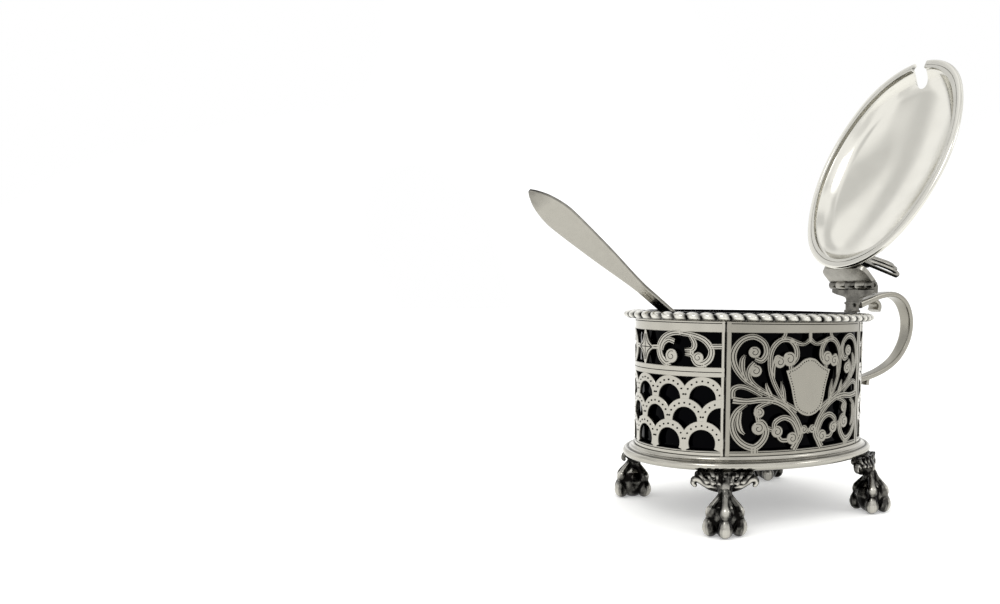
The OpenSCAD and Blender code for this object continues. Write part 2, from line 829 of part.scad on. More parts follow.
module fixed_knuckles(r, grow) {
    for (m = [-1, 1])
        knuckle(m * (barrel_w - outer_knuckle) / 2 - outer_knuckle / 2 - grow,
            m * (barrel_w - outer_knuckle) / 2 + outer_knuckle / 2 + grow, r);
    knuckle(-inner_knuckle / 2 - grow, inner_knuckle / 2 + grow, r);
}

module moving_knuckles(r, grow) {
    for (m = [-1, 1])
        knuckle(m * inner_knuckle - inner_knuckle / 2 - grow,
            m * inner_knuckle + inner_knuckle / 2 + grow, r);
}

module hinge_bore() {
    knuckle(-barrel_w, barrel_w, pin_r + pin_fit);
}

// Half outline of the lower leaf: from the post it flares out under the barrel
function lower_leaf_half(leaf_h) = concat(
    curve([
        [post_w / 2, 0],
        [post_w / 2, 0.16 * leaf_h],
        [post_w / 2 + 0.2 * leaf_h, 0.3 * leaf_h],
        [barrel_w / 2 - 0.4 * leaf_h, 0.44 * leaf_h],
        [barrel_w / 2, 0.56 * leaf_h]
    ], 4),
    [[barrel_w / 2, leaf_h]]
);

module lower_hinge_leaf() {
    half = lower_leaf_half(hinge_z - post_top);
    color(silver)
        difference() {
            union() {
                translate([hinge_x + leaf_fit, 0, post_top])
                    rotate([90, 0, 90])
                        linear_extrude(leaf_t)
                            polygon(concat(half, [for (p = back_to_front(half)) [-p[0], p[1]]]));
                fixed_knuckles(barrel_r, 0);
            }
            moving_knuckles(barrel_r + knuckle_gap, 0);
            hinge_bore();
        }
}

module hinge_pin() {
    color(silver)
        knuckle(-barrel_w / 2 + pin_recess, barrel_w / 2 - pin_recess, pin_r);
}

// The lid's pieces are drawn shut and swung open about the hinge axis
module swing() {
    translate([hinge_x, 0, hinge_z])
        rotate([0, lid_open, 0])
            translate([-hinge_x, 0, -hinge_z])
                children();
}

// Makes the lid longer than the body's oval, away from the hinge
function lid_x(x) = lid_l + (x - lid_l) * lid_long;

module notch() {
    translate([lid_x(-lid_l), 0, lid_z - past])
        linear_extrude(dome_h + border_t + 2 * past)
            polygon(concat(
                [[-past, -notch_w / 2]],
                arc(notch_d - notch_w / 2, 0, notch_w / 2, -90, 90, 16),
                [[-past, notch_w / 2]]
            ));
}

// Section of the lid's border: flat inside, turned to a bead at its edge
function border_section() = concat(
    [[lid_over - border_w, lid_z]],
    arc(lid_over - edge_r, lid_z + edge_r, edge_r, -90, 180 - asin((border_t - edge_r) / edge_r), 6),
    [[lid_over - border_w, dome_z]]
);

function border_ring(i, steps) = [
    for (c = border_section())
        let (p = oval_at(4 * quarter * i / steps, c[0]))
            [lid_x(p[0]), p[1], c[1]]
];

module lid_border() {
    steps = 72;
    color(silver)
        swing()
            difference() {
                polyhedron(
                    points = [for (i = [0 : steps - 1]) each border_ring(i, steps)],
                    faces = tube_faces(steps, len(border_section()), true)
                );
                notch();
            }
}

// Outline of the dome from its crown down to its edge, drop below the outer face
function dome_outline(drop) =
    let (step = (90 - crown_a - shoulder_a) / 6)
        concat(
            arc(0, dome_h - crown_r, crown_r - drop, 90, 90 - crown_a, 12),
            arc(shoulder_x, shoulder_z, shoulder_r - drop, 90 - crown_a - step, shoulder_a, 5)
        );

module dome_solid(drop) {
    translate([lid_x(0), 0, dome_z])
        scale([lid_long, dome_w / dome_l, 1])
            rotate_extrude()
                intersection() {
                    polygon(concat(
                        dome_outline(drop),
                        [[shoulder_x, shoulder_z - past], [0, shoulder_z - past]]
                    ));
                    square([dome_l + past, dome_h + past]);
                }
}

module lid_dome() {
    color(silver)
        swing()
            difference() {
                dome_solid(0);
                translate([0, 0, -kerf])
                    dome_solid(dome_t);
                notch();
            }
}

// Section of the upper leaf: from the lid's edge up to the barrel
module upper_leaf_section() {
    foot_x = hinge_back + 0.3;
    polygon([
        [-foot_x, leaf_low],
        [-foot_x - leaf_t, leaf_low],
        [-barrel_r, 0.3 * barrel_r],
        [0, 0.45 * barrel_r],
        [-0.25 * barrel_r, -0.75 * barrel_r]
    ]);
}

module upper_hinge_leaf() {
    corner_r = 3;
    color(silver)
        swing()
            difference() {
                union() {
                    intersection() {
                        translate([hinge_x, barrel_w / 2, hinge_z])
                            rotate([90, 0, 0])
                                linear_extrude(barrel_w)
                                    upper_leaf_section();
                        translate([0, 0, hinge_z + leaf_low])
                            rotate([90, 0, 90])
                                linear_extrude(2 * hinge_x)
                                    offset(r = corner_r)
                                        offset(delta = -corner_r)
                                            translate([-barrel_w / 2, 0])
                                                square([barrel_w, 2 * hinge_rise]);
                    }
                    moving_knuckles(barrel_r, -knuckle_gap);
                }
                fixed_knuckles(barrel_r + knuckle_gap, 0);
                hinge_bore();
            }
}

// Outline of one loop of the thumbpiece, widening to a round top
module loop_outline(foot_half, top_half, tall) {
    polygon([
        [-foot_half, 0],
        [foot_half, 0],
        [top_half, tall - top_half],
        [-top_half, tall - top_half]
    ]);
    translate([0, tall - top_half])
        circle(top_half, $fn = 32);
}

// Slit of one loop: a lens between two arcs
module loop_slit(half_w, half_h) {
    arc_r = (half_w * half_w + half_h * half_h) / (2 * half_w);
    intersection_for (m = [-1, 1])
        translate([m * (arc_r - half_w), 0])
            circle(arc_r);
}

module thumbpiece() {
    tall = shell_rise - leaf_low;
    loop_a = 2 * shell_half_a / lobe_count;
    top_half = 1.08 * shell_top_r * tan(loop_a / 2);
    foot_half = 1.2 * shell_foot_r * tan(loop_a / 2);
    color(silver)
        swing()
            difference() {
                translate([hinge_x, 0, hinge_z + leaf_low])
                    difference() {
                        intersection() {
                            rotate_extrude(angle = 2 * shell_half_a, start = 180 - shell_half_a)
                                polygon([
                                    [shell_foot_r, 0],
                                    [shell_foot_r + shell_t, 0],
                                    [shell_top_r + shell_t, tall],
                                    [shell_top_r, tall]
                                ]);
                            for (k = [0 : lobe_count - 1])
                                rotate([90, 0, 270 - shell_half_a + (k + 0.5) * loop_a])
                                    linear_extrude(2 * shell_top_r)
                                        loop_outline(foot_half, top_half, tall);
                        }
                        for (k = [0 : lobe_count - 1])
                            rotate([0, 0, 180 - shell_half_a + (k + 0.5) * loop_a])
                                translate([0, 0, 0.66 * tall])
                                    rotate([90, 0, 90])
                                        linear_extrude(2 * shell_top_r)
                                            loop_slit(0.38 * top_half, 0.17 * tall);
                    }
                dome_solid(0);
            }
}

// Spoon stations from the tip of the bowl: distance, half width, half thickness, dish
function spoon_stations() =
    let (b = bowl_w / 2, d = bowl_d, g = grip_w / 2, s = shank_w / 2, t = shank_t, l = spoon_l)
        [
            [0, 0.1 * b, 0.3 * t, 0.02 * d],
            [2, 0.52 * b, 0.4 * t, 0.3 * d],
            [6, 0.86 * b, 0.43 * t, 0.75 * d],
            [12, b, 0.43 * t, d],
            [18, 0.88 * b, 0.43 * t, 0.8 * d],
            [22, 0.6 * b, 0.52 * t, 0.4 * d],
            [25.5, 0.33 * b, 0.78 * t, 0.1 * d],
            [30, 1.02 * s, t, 0],
            [40, 0.97 * s, t, 0],
            [l - 48, s, t, 0],
            [l - 40, 1.15 * s, 0.96 * t, 0],
            [l - 27, 0.74 * g, 0.87 * t, 0],
            [l - 14, 0.98 * g, 0.83 * t, 0],
            [l - 9, 0.97 * g, 0.83 * t, 0],
            [l - 4.5, 0.72 * g, 0.78 * t, 0],
            [l - 1.5, 0.36 * g, 0.7 * t, 0],
            [l, 0.08 * g, 0.52 * t, 0]
        ];

function spoon_ring(c) = [
    for (a = [0 : 22.5 : 337.5])
        let (y = cos(a), z = -sin(a))
            [c[0], c[1] * y, c[2] * sign(z) * pow(abs(z), 0.6) - c[3] * (1 - y * y)]
];

module spoon() {
    rings = curve(spoon_stations(), 2);
    n = 16;
    color(silver)
        translate([cross_x, 0, cross_z])
            rotate([0, 0, 180])
                rotate([0, -spoon_lean, 0])
                    rotate([spoon_roll, 0, 0])
                        translate([-spoon_under, 0, 0])
                            polyhedron(
                                points = [for (c = rings) each spoon_ring(c)],
                                faces = concat(
                                    tube_faces(len(rings), n, false),
                                    [[for (j = [n - 1 : -1 : 0]) j]],
                                    [[for (j = [0 : n - 1]) (len(rings) - 1) * n + j]]
                                )
                            );
}

base_moulding();
liner_ledge();
front_panel();
back_panel();
left_panel();
right_panel();
gadroon_rim();
glass_liner();
foot_front_left();
foot_front_right();
foot_back_left();
foot_back_right();
handle();
hinge_post();
lower_hinge_leaf();
hinge_pin();
lid_border();
lid_dome();
upper_hinge_leaf();
thumbpiece();
spoon();
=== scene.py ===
import math

import bpy
import numpy as np
from mathutils import Matrix, Quaternion, Vector


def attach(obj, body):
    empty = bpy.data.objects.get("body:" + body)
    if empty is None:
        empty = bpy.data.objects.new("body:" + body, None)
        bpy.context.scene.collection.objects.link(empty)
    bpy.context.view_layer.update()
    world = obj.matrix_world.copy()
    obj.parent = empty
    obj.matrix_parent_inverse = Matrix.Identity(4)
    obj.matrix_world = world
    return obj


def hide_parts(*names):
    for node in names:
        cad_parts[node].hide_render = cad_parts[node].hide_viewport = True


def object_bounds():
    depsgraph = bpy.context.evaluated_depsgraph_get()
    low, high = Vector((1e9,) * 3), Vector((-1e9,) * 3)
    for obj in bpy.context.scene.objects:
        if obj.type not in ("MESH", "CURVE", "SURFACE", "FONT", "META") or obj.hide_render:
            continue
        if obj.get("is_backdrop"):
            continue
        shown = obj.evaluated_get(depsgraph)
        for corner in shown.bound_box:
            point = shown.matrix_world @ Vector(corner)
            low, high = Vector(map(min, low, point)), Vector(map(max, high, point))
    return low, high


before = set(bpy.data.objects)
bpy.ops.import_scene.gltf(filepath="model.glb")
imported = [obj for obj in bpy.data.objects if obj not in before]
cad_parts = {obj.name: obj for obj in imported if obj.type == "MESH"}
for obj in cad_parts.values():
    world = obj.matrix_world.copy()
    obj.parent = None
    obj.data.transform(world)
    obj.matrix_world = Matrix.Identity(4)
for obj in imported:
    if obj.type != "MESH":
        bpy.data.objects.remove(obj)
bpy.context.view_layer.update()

# The studio: a pale sheet under the pot, a bright room and two soft lamps.
# The sheet and the room are white to the eye, and the sheet keeps the pot's shadow.
MM = 0.001


def linear(hex_colour):
    """sRGB hex value as linear red, green, blue and alpha."""
    channels = [int(hex_colour[i:i + 2], 16) / 255 for i in (1, 3, 5)]
    return [c / 12.92 if c <= 0.04045 else ((c + 0.055) / 1.055) ** 2.4 for c in channels] + [1.0]


def add_node(tree, kind, inputs=None, **settings):
    """Adds a node, sets its fields, and fills or links its inputs."""
    node = tree.nodes.new(kind)
    for field, value in settings.items():
        setattr(node, field, value)
    for socket, value in (inputs or {}).items():
        if isinstance(value, bpy.types.NodeSocket):
            tree.links.new(value, node.inputs[socket])
        else:
            node.inputs[socket].default_value = value
    return node


def maths(tree, operation, *values):
    """Output of a sum of values and other outputs."""
    return add_node(tree, "ShaderNodeMath", dict(enumerate(values)), operation=operation).outputs[0]


def new_material(name):
    """Empty node material with its output."""
    material = bpy.data.materials.new(name)
    material.use_nodes = True
    material.node_tree.nodes.clear()
    return material, material.node_tree, material.node_tree.nodes.new("ShaderNodeOutputMaterial")


def seen_rays(tree):
    """Outputs of the light path, and one for the rays of the camera, of gloss and of glass."""
    path = add_node(tree, "ShaderNodeLightPath").outputs
    seen = path["Is Camera Ray"]
    for ray in ("Is Glossy Ray", "Is Transmission Ray"):
        seen = maths(tree, "MAXIMUM", seen, path[ray])
    return path, seen


scene = bpy.context.scene
scene.view_settings.view_transform = "Standard"

bpy.ops.object.select_all(action="DESELECT")
bpy.ops.mesh.primitive_plane_add(size=6, location=(0, 0, -0.05 * MM))
floor = bpy.context.object
floor.name = "studio_sheet"
sheet_paper, tree, out = new_material("white_studio_paper")
path, seen = seen_rays(tree)
paper = add_node(tree, "ShaderNodeBsdfDiffuse", {"Color": linear("#f4f4f2")})
glow = add_node(tree, "ShaderNodeEmission", {"Color": (1, 1, 1, 1), "Strength": 0.3})
both = add_node(tree, "ShaderNodeAddShader", {0: paper.outputs[0], 1: glow.outputs[0]})
mix = add_node(tree, "ShaderNodeMixShader", {0: seen, 1: paper.outputs[0], 2: both.outputs[0]})
tree.links.new(mix.outputs[0], out.inputs["Surface"])
floor.data.materials.append(sheet_paper)
floor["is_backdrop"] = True

room = bpy.data.worlds.new("studio_room")
scene.world = room
room.use_nodes = True
tree = room.node_tree
tree.nodes.clear()
path, seen = seen_rays(tree)
way = add_node(tree, "ShaderNodeTexCoord")
cloud = add_node(tree, "ShaderNodeTexNoise", {
    "Vector": way.outputs["Generated"], "Scale": 2.6, "Detail": 0.5, "Roughness": 0.4})
tone = add_node(tree, "ShaderNodeMapRange", {
    "Value": cloud.outputs["Fac"], "From Min": 0.4, "From Max": 0.53, "To Min": 0.85, "To Max": 1.3})
# Gloss and glass see plain white low down and soft clouds above; the camera sees white everywhere.
axes = add_node(tree, "ShaderNodeSeparateXYZ", {"Vector": way.outputs["Generated"]})
near = add_node(tree, "ShaderNodeMapRange", {
    "Value": axes.outputs["Z"], "From Min": 0.3, "From Max": 0.55, "To Min": 1.0, "To Max": 0.0})
white = maths(tree, "MULTIPLY", seen, near.outputs[0])
for at_least in (path["Is Camera Ray"], tone.outputs[0]):
    white = maths(tree, "MAXIMUM", white, at_least)
back = add_node(tree, "ShaderNodeBackground", {"Color": (1, 1, 1, 1), "Strength": white})
tree.links.new(back.outputs[0], add_node(tree, "ShaderNodeOutputWorld").inputs["Surface"])

for name, place, aim, size, power in (
        ("key_lamp", (-0.5, -0.35, 0.75), (0, 0, 0.05), 0.3, 1.2),
        ("fill_lamp", (0.45, -0.6, 0.45), (0, 0, 0.06), 0.2, 0.35)):
    lamp = bpy.data.lights.new(name, "AREA")
    lamp.energy = power
    lamp.size = size
    lamp_object = bpy.data.objects.new(name, lamp)
    lamp_object.location = place
    lamp_object.rotation_euler = (Vector(aim) - Vector(place)).to_track_quat("-Z", "Y").to_euler()
    scene.collection.objects.link(lamp_object)

# The camera stands low before the pot's right front corner, close to it, with the pot right of the middle.
camera_place = Vector((-158.1, -226.5, 66.4)) * MM
camera_aim = Vector((0, 0, 40)) * MM
lens_data = bpy.data.cameras.new("camera")
lens_data.lens = 31.18
lens_data.sensor_width = 36
lens_data.shift_x = -0.2507
lens_data.shift_y = 0.0779
lens_data.clip_start = 0.01
camera = bpy.data.objects.new("camera", lens_data)
camera.location = camera_place
camera.rotation_mode = "QUATERNION"
camera_tilt = Quaternion((0, 0, 1), 0.02004)
camera.rotation_quaternion = (camera_aim - camera_place).to_track_quat("-Z", "Y") @ camera_tilt
scene.collection.objects.link(camera)
scene.camera = camera

# Sterling silver: a warm white metal, hand polished, so its gloss wanders a little and hair scratches
# break it up, while dark sulphide stays where the polishing cloth can't reach and over the hinge. On some
# pieces the per-point darkness also holds painted shade and painted dark reflection, and painted highlights
# where it is lifted.
def sterling(name, colour, tarnish, smooth, dull):
    """Silver darkened by tarnish all over and by the piece's recess attribute, and dull where dark."""
    material, tree, out = new_material(name)
    place = add_node(tree, "ShaderNodeTexCoord").outputs["Object"]
    oxide_and_painted_shade = add_node(tree, "ShaderNodeAttribute", attribute_name="oxide_and_painted_shade")
    haze = add_node(tree, "ShaderNodeTexNoise", {"Vector": place, "Scale": 140.0, "Detail": 3.0})
    stain = add_node(tree, "ShaderNodeTexNoise", {"Vector": place, "Scale": 420.0, "Detail": 4.0})
    depth = maths(tree, "ADD", stain.outputs["Fac"], 0.55)
    held = maths(tree, "ADD", oxide_and_painted_shade.outputs["Fac"], tarnish)
    dark = add_node(tree, "ShaderNodeMath", {0: held, 1: depth}, operation="MULTIPLY",
                    use_clamp=True).outputs[0]
    tint = add_node(tree, "ShaderNodeMix", {
        "Factor": dark, "A": linear(colour), "B": linear("#0d0c0b")}, data_type="RGBA")
    gloss = add_node(tree, "ShaderNodeMapRange", {
        "Value": haze.outputs["Fac"], "From Min": 0.3, "From Max": 0.7,
        "To Min": smooth, "To Max": smooth + 0.1})
    rough = maths(tree, "MULTIPLY_ADD", dark, dull, gloss.outputs[0])
    # Hair scratches are about 0.02 mm wide; they are drawn ten times as coarse so that they show.
    scratch = add_node(tree, "ShaderNodeTexNoise", {"Vector": place, "Scale": 5000.0, "Detail": 2.0})
    relief = add_node(tree, "ShaderNodeBump", {
        "Height": scratch.outputs["Fac"], "Strength": 0.05, "Distance": 0.02 * MM})
    shader = add_node(tree, "ShaderNodeBsdfPrincipled", {
        "Base Color": tint.outputs["Result"], "Metallic": 1.0, "Roughness": rough,
        "Normal": relief.outputs[0]})
    tree.links.new(shader.outputs[0], out.inputs["Surface"])
    return material


# Lid and gadroon border: kept polished, and painted lighter than the rest of the silver: a painted highlight.
painted_lighter_silver = sterling("polished_silver_with_painted_light", "#d2d0c8", 0.0, 0.1, 0.3)
# Base moulding, end panels and spoon: rubbed by cleaning, in the middle tone between the lighter and darker
# painted copies of the silver.
middle_tone_silver = sterling("middle_tone_silver", "#adaaa1", 0.0, 0.14, 0.3)
# Side panels and handle: softer, and painted darker and greyer than the rest of the silver: painted shade.
painted_darker_silver = sterling("softened_silver_with_painted_shade", "#928f86", 0.0, 0.18, 0.3)
# Upper hinge leaf and thumbpiece: tarnished where the cloth seldom goes.
worn_silver = sterling("tarnished_silver", "#b5b2a9", 0.36, 0.14, 0.1)
# Post, lower leaf, pin and ledge: nearly black with sulphide.
black_silver = sterling("blackened_silver", "#b5b2a9", 0.68, 0.12, 0.05)
# Feet: cast, and left oxidised in their hollows. Their per-point darkness adds painted dark reflection and
# painted shade, lifted by painted highlights.
dark_silver = sterling("oxidised_silver_with_painted_dark", "#cbc8bf", 0.0, 0.12, 0.06)

# Cobalt glass, blown and ground: so deep a blue that it looks black, with a bright wet gloss.
cobalt, tree, out = new_material("cobalt_glass")
place = add_node(tree, "ShaderNodeTexCoord").outputs["Object"]
swirl = add_node(tree, "ShaderNodeTexNoise", {
    "Vector": place, "Scale": 60.0, "Detail": 2.0}).outputs["Fac"]
blue = add_node(tree, "ShaderNodeMix", {
    "Factor": swirl, "A": linear("#000000"), "B": linear("#010104")}, data_type="RGBA")
wave = add_node(tree, "ShaderNodeBump", {"Height": swirl, "Strength": 0.1, "Distance": 0.2 * MM})
shader = add_node(tree, "ShaderNodeBsdfPrincipled", {
    "Base Color": blue.outputs["Result"], "Roughness": 0.06, "IOR": 1.52, "Specular IOR Level": 0.02,
    "Normal": wave.outputs[0]})
tree.links.new(shader.outputs[0], out.inputs["Surface"])

# Base moulding: a drawn silver moulding bent round the oval, half-round below, stepped and hollowed above,
# soldered under the panels. Dark oxide stays in its quirks.
BODY_HALF_L, BODY_HALF_W, END_R = 38.0, 30.0, 27.0
SIDE_R = ((BODY_HALF_L - END_R) ** 2 + BODY_HALF_W ** 2 - END_R ** 2) / (2 * (BODY_HALF_W - END_R))
END_C, SIDE_C = BODY_HALF_L - END_R, SIDE_R - BODY_HALF_W
JOINT = math.atan2(SIDE_C, END_C)
END_LEN, SIDE_LEN = END_R * JOINT, SIDE_R * (math.pi / 2 - JOINT)
QUARTER = END_LEN + SIDE_LEN
FOOT_H, PANEL_Z, RIM_Z, RIM_TOP = 17.5, 21.1, 59.5, 61.9


def oval_point(s, off):
    """Point of the oval, in mm, at an arc length from the handle end and moved out by off."""
    turn, u = divmod(s, QUARTER)
    turn = int(turn) % 4
    u = QUARTER - u if turn % 2 else u
    if u < END_LEN:
        x, y = END_C + (END_R + off) * math.cos(u / END_R), (END_R + off) * math.sin(u / END_R)
    else:
        a = JOINT + (u - END_LEN) / SIDE_R
        x, y = (SIDE_R + off) * math.cos(a), (SIDE_R + off) * math.sin(a) - SIDE_C
    return (-x if turn in (1, 2) else x), (-y if turn in (2, 3) else y)


def arc_points(x, y, r, start, stop, steps, *dark_here):
    """Points of an arc about a centre, in degrees, each with its darkness where given."""
    turns = [math.radians(start + (stop - start) * i / steps) for i in range(steps + 1)]
    return [(x + r * math.cos(a), y + r * math.sin(a), *dark_here) for a in turns]


def full_turn(n):
    """Angles of n even steps round a circle."""
    return np.linspace(0, 2 * math.pi, n, endpoint=False)


def sweep(section, steps):
    """Points of a section, given as out and up, carried round the oval in even steps."""
    return [(*oval_point(4 * QUARTER * i / steps, row[0]), row[1]) for i in range(steps) for row in section]


def tube_faces(rings, n, closed=False, caps=False, start=0, seam=True):
    """Faces between rings of n points from start: capped at its ends, or open along its seam, if asked."""
    faces = [(i * n + j, i * n + (j + 1) % n, (i + 1) % rings * n + (j + 1) % n, (i + 1) % rings * n + j)
             for i in range(rings if closed else rings - 1) for j in range(n if seam else n - 1)]
    if caps:
        faces += [tuple(range(n)), tuple(range((rings - 1) * n, rings * n))]
    return [tuple(start + j for j in face) for face in faces]


def pick(piece):
    """Makes a piece the only one selected, and the active one."""
    bpy.ops.object.select_all(action="DESELECT")
    piece.select_set(True)
    bpy.context.view_layer.objects.active = piece


def face_outwards():
    """Turns the faces of the active piece outwards."""
    bpy.ops.object.mode_set(mode="EDIT")
    bpy.ops.mesh.select_all(action="SELECT")
    bpy.ops.mesh.normals_make_consistent(inside=False)
    bpy.ops.object.mode_set(mode="OBJECT")


def make_piece(name, points, faces, material, body, nodes=(), oxide_and_painted_shade=None, angle=35):
    """Mesh piece from points in mm, smoothed up to an angle, riding on its body."""
    mesh = bpy.data.meshes.new(name)
    mesh.from_pydata([Vector(p) * MM for p in points], [], faces)
    if oxide_and_painted_shade is not None:
        mesh.attributes.new("oxide_and_painted_shade", "FLOAT", "POINT").data.foreach_set("value", [float(v) for v in oxide_and_painted_shade])
    mesh.materials.append(material)
    piece = bpy.data.objects.new(name, mesh)
    scene.collection.objects.link(piece)
    pick(piece)
    face_outwards()
    bpy.ops.object.shade_smooth_by_angle(angle=math.radians(angle))
    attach(piece, body)
    if nodes:
        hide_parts(*nodes)
    return piece


base_over, base_round, base_in, step_out, cove = 3.6, 1.15, 1.2, 1.7, 1.05
step_z = FOOT_H + 2 * base_round
base_section = ([(-base_in, FOOT_H, 0)]
                + arc_points(base_over - base_round, FOOT_H + base_round, base_round, -90, 75, 14, 0)
                + [(step_out + 0.25, step_z - 0.16, 0.8), (step_out, step_z + 0.02, 0.4),
                   (step_out, PANEL_Z - cove - 0.1, 0)]
                + arc_points(step_out - 0.08, PANEL_Z, cove - 0.02, 266, 184, 8, 0.05)
                + [(step_out - cove - 0.12, PANEL_Z - 0.01, 0.1), (0.02, PANEL_Z, 0.8),
                   (-base_in, PANEL_Z, 0.9)])
base_steps = 200
base_dark = [row[2] for row in base_section] * base_steps
base_faces = tube_faces(base_steps, len(base_section), True)
make_piece("base_moulding_drawn", sweep(base_section, base_steps), base_faces, middle_tone_silver, "pot",
           ["base_moulding"], base_dark)

# Side panels: sheet silver, sawn out by hand to foliate scrolls round a plain shield, filed at the edges and
# engraved along every scroll; bent to the side arcs and soldered to the end panels at the seams.
SEAM_EDGE, TOP_STRIP, BOTTOM_STRIP, PANEL_H, PANEL_T = 1.4, 3.2, 1.5, 38.4, 0.9
SIDE_SCROLL, BAND_SCROLL = 1.2, 1.3
# Filed edge, half width and depth of a graver's cut, and height of the cuts that cross several strips.
FILED, CUT_W, CUT_D, ON_TOP = 0.16, 0.12, 0.1, 0.135


def spline(points, steps):
    """Smooth curve through a row of points."""
    p = [np.array(q, float) for q in points]
    curve = []
    for i in range((len(p) - 1) * steps + 1):
        k = min(i // steps, len(p) - 2)
        t = i / steps - k
        a, b, c, d = p[max(k - 1, 0)], p[k], p[k + 1], p[min(k + 2, len(p) - 1)]
        curve.append(0.5 * (2 * b + (c - a) * t + (2 * a - 5 * b + 4 * c - d) * t * t
                            + (3 * b - a - 3 * c + d) * t ** 3))
    return curve


def heading(curve, i, size=2):
    """Direction of a curve at one of its points, of length 1."""
    d = (curve[min(i + 1, len(curve) - 1)] - curve[max(i - 1, 0)])[:size]
    return d / np.linalg.norm(d)


def along_line(x, line):
    """Second value of a row of points at a place along their first."""
    return np.interp(x, [p[0] for p in line], [p[1] for p in line])


def engraved(strip):
    """Engraved lines as shares of a scroll's width: one on a narrow scroll and two on a wide one."""
    return (0.0,) if max(p[2] for p in strip) < 1.25 else (-0.18, 0.24)


class Sheet:
    """Gathers the points, faces and darkness of one piece of sheet metal: oxide in its cuts, and painted dark
    reflection along its sawn and filed edges.
    """

    def __init__(self, place):
        self.place, self.points, self.faces, self.dark, self.layer = place, [], [], [], 0

    def rows(self, rows, closed=False):
        """Adds rows of (across, up, lift, dark), joined row to row."""
        start, n = len(self.points), len(rows[0])
        for row in rows:
            for across, up, lift, dark_here in row:
                self.points.append(self.place(across, up, lift))
                self.dark.append(dark_here)
        self.faces += tube_faces(len(rows), n, start=start, seam=closed)
        if not closed:
            self.faces.append(tuple(start + j for j in range(n)))
            self.faces.append(tuple(start + (len(rows) - 1) * n + j for j in reversed(range(n))))

    def next_lift(self):
        """Each strip lies a hair above the last, so that crossing strips don't share a face."""
        self.layer += 1
        return 0.012 * (self.layer % 9)

    def ribbon(self, points, steps=7, lines=(0.0,)):
        """Strip along a curve of across, up and width, filed round at its edges and engraved along it."""
        curve, base, rows = spline(points, steps), self.next_lift(), []
        for i, (x, y, w) in enumerate(curve):
            d = heading(curve, i)
            half, edge, cut = w / 2, min(FILED, w * 0.16), min(CUT_W, w * 0.2)
            # The sawn sides and filed edges are darkened: partly oxide, partly a painted dark reflection of
            # the glass behind.
            profile = [(-half, -PANEL_T, 1), (-half, -edge, 0.75), (-half + edge, 0, 0)]
            for line in lines:
                profile += [(line * w - cut, 0, 0), (line * w - 0.7 * cut, -CUT_D, 1),
                            (line * w + 0.7 * cut, -CUT_D, 1), (line * w + cut, 0, 0)]
            profile += [(half - edge, 0, 0), (half, -edge, 0.75), (half, -PANEL_T, 1)]
            rows.append([(x - q * d[1], y + q * d[0], lift + base, dark_here)
                         for q, lift, dark_here in profile])
        self.rows(rows)

    def boss(self, x, y, r):
        """Round end of a scroll with an engraved spiral."""
        base = self.next_lift() + 0.01
        # Its sawn side and filed edge are darkened like a scroll's: partly oxide, partly painted dark
        # reflection.
        profile = [(r, -PANEL_T, 1), (r, -0.14, 0.75), (r - FILED, 0, 0), (0.5 * r, 0, 0), (0.02, 0, 0)]
        self.rows([[(x + q * math.cos(a), y + q * math.sin(a), lift + base, dark_here) for a in full_turn(22)]
                   for q, lift, dark_here in profile], closed=True)
        side = 1 if x > 0 else -1
        spiral = [(0.72 * r * (1 - k / 34), math.radians(60 + 15 * k)) for k in range(27)]
        cut = ((-0.1, 0.002), (0, 0.02), (0.1, 0.002))
        self.rows([[(x + side * (q + w) * math.cos(a), y + (q + w) * math.sin(a), base + up, 1.0)
                    for w, up in cut] for q, a in spiral])

    def engrave(self, line):
        """Fine dark line cut into the face."""
        line = spline(line, 6)
        rows, cut = [], ((-0.11, 0), (0, 0.012), (0.11, 0))
        for i, (x, y) in enumerate(line):
            d = heading(line, i)
            rows.append([(x - w * d[1], y + w * d[0], ON_TOP + up, 1.0) for w, up in cut])
        self.rows(rows)

    def dot(self, x, y, r):
        """Punched dot."""
        rings = ((r, 0.0), (0.5 * r, 0.012), (0.02, 0.012))
        self.rows([[(x + q * math.cos(a), y + q * math.sin(a), lift + ON_TOP, 1.0) for a in full_turn(8)]
                   for q, lift in rings], closed=True)

    def between(self, columns):
        """Plate given by columns of (across, low, high)."""
        base, rows = self.next_lift() + 0.02, []
        for x, low, high in columns:
            edge = min(FILED, (high - low) / 3)
            inner = [low + edge + (high - low - 2 * edge) * k / 8 for k in range(9)]
            # Its sawn edges are darkened like a scroll's: partly oxide, partly painted dark reflection.
            rows.append([(x, low, base - PANEL_T, 1), (x, low, base - edge, 0.75)]
                        + [(x, v, base, 0) for v in inner]
                        + [(x, high, base - edge, 0.75), (x, high, base - PANEL_T, 1)])
        self.rows(rows)


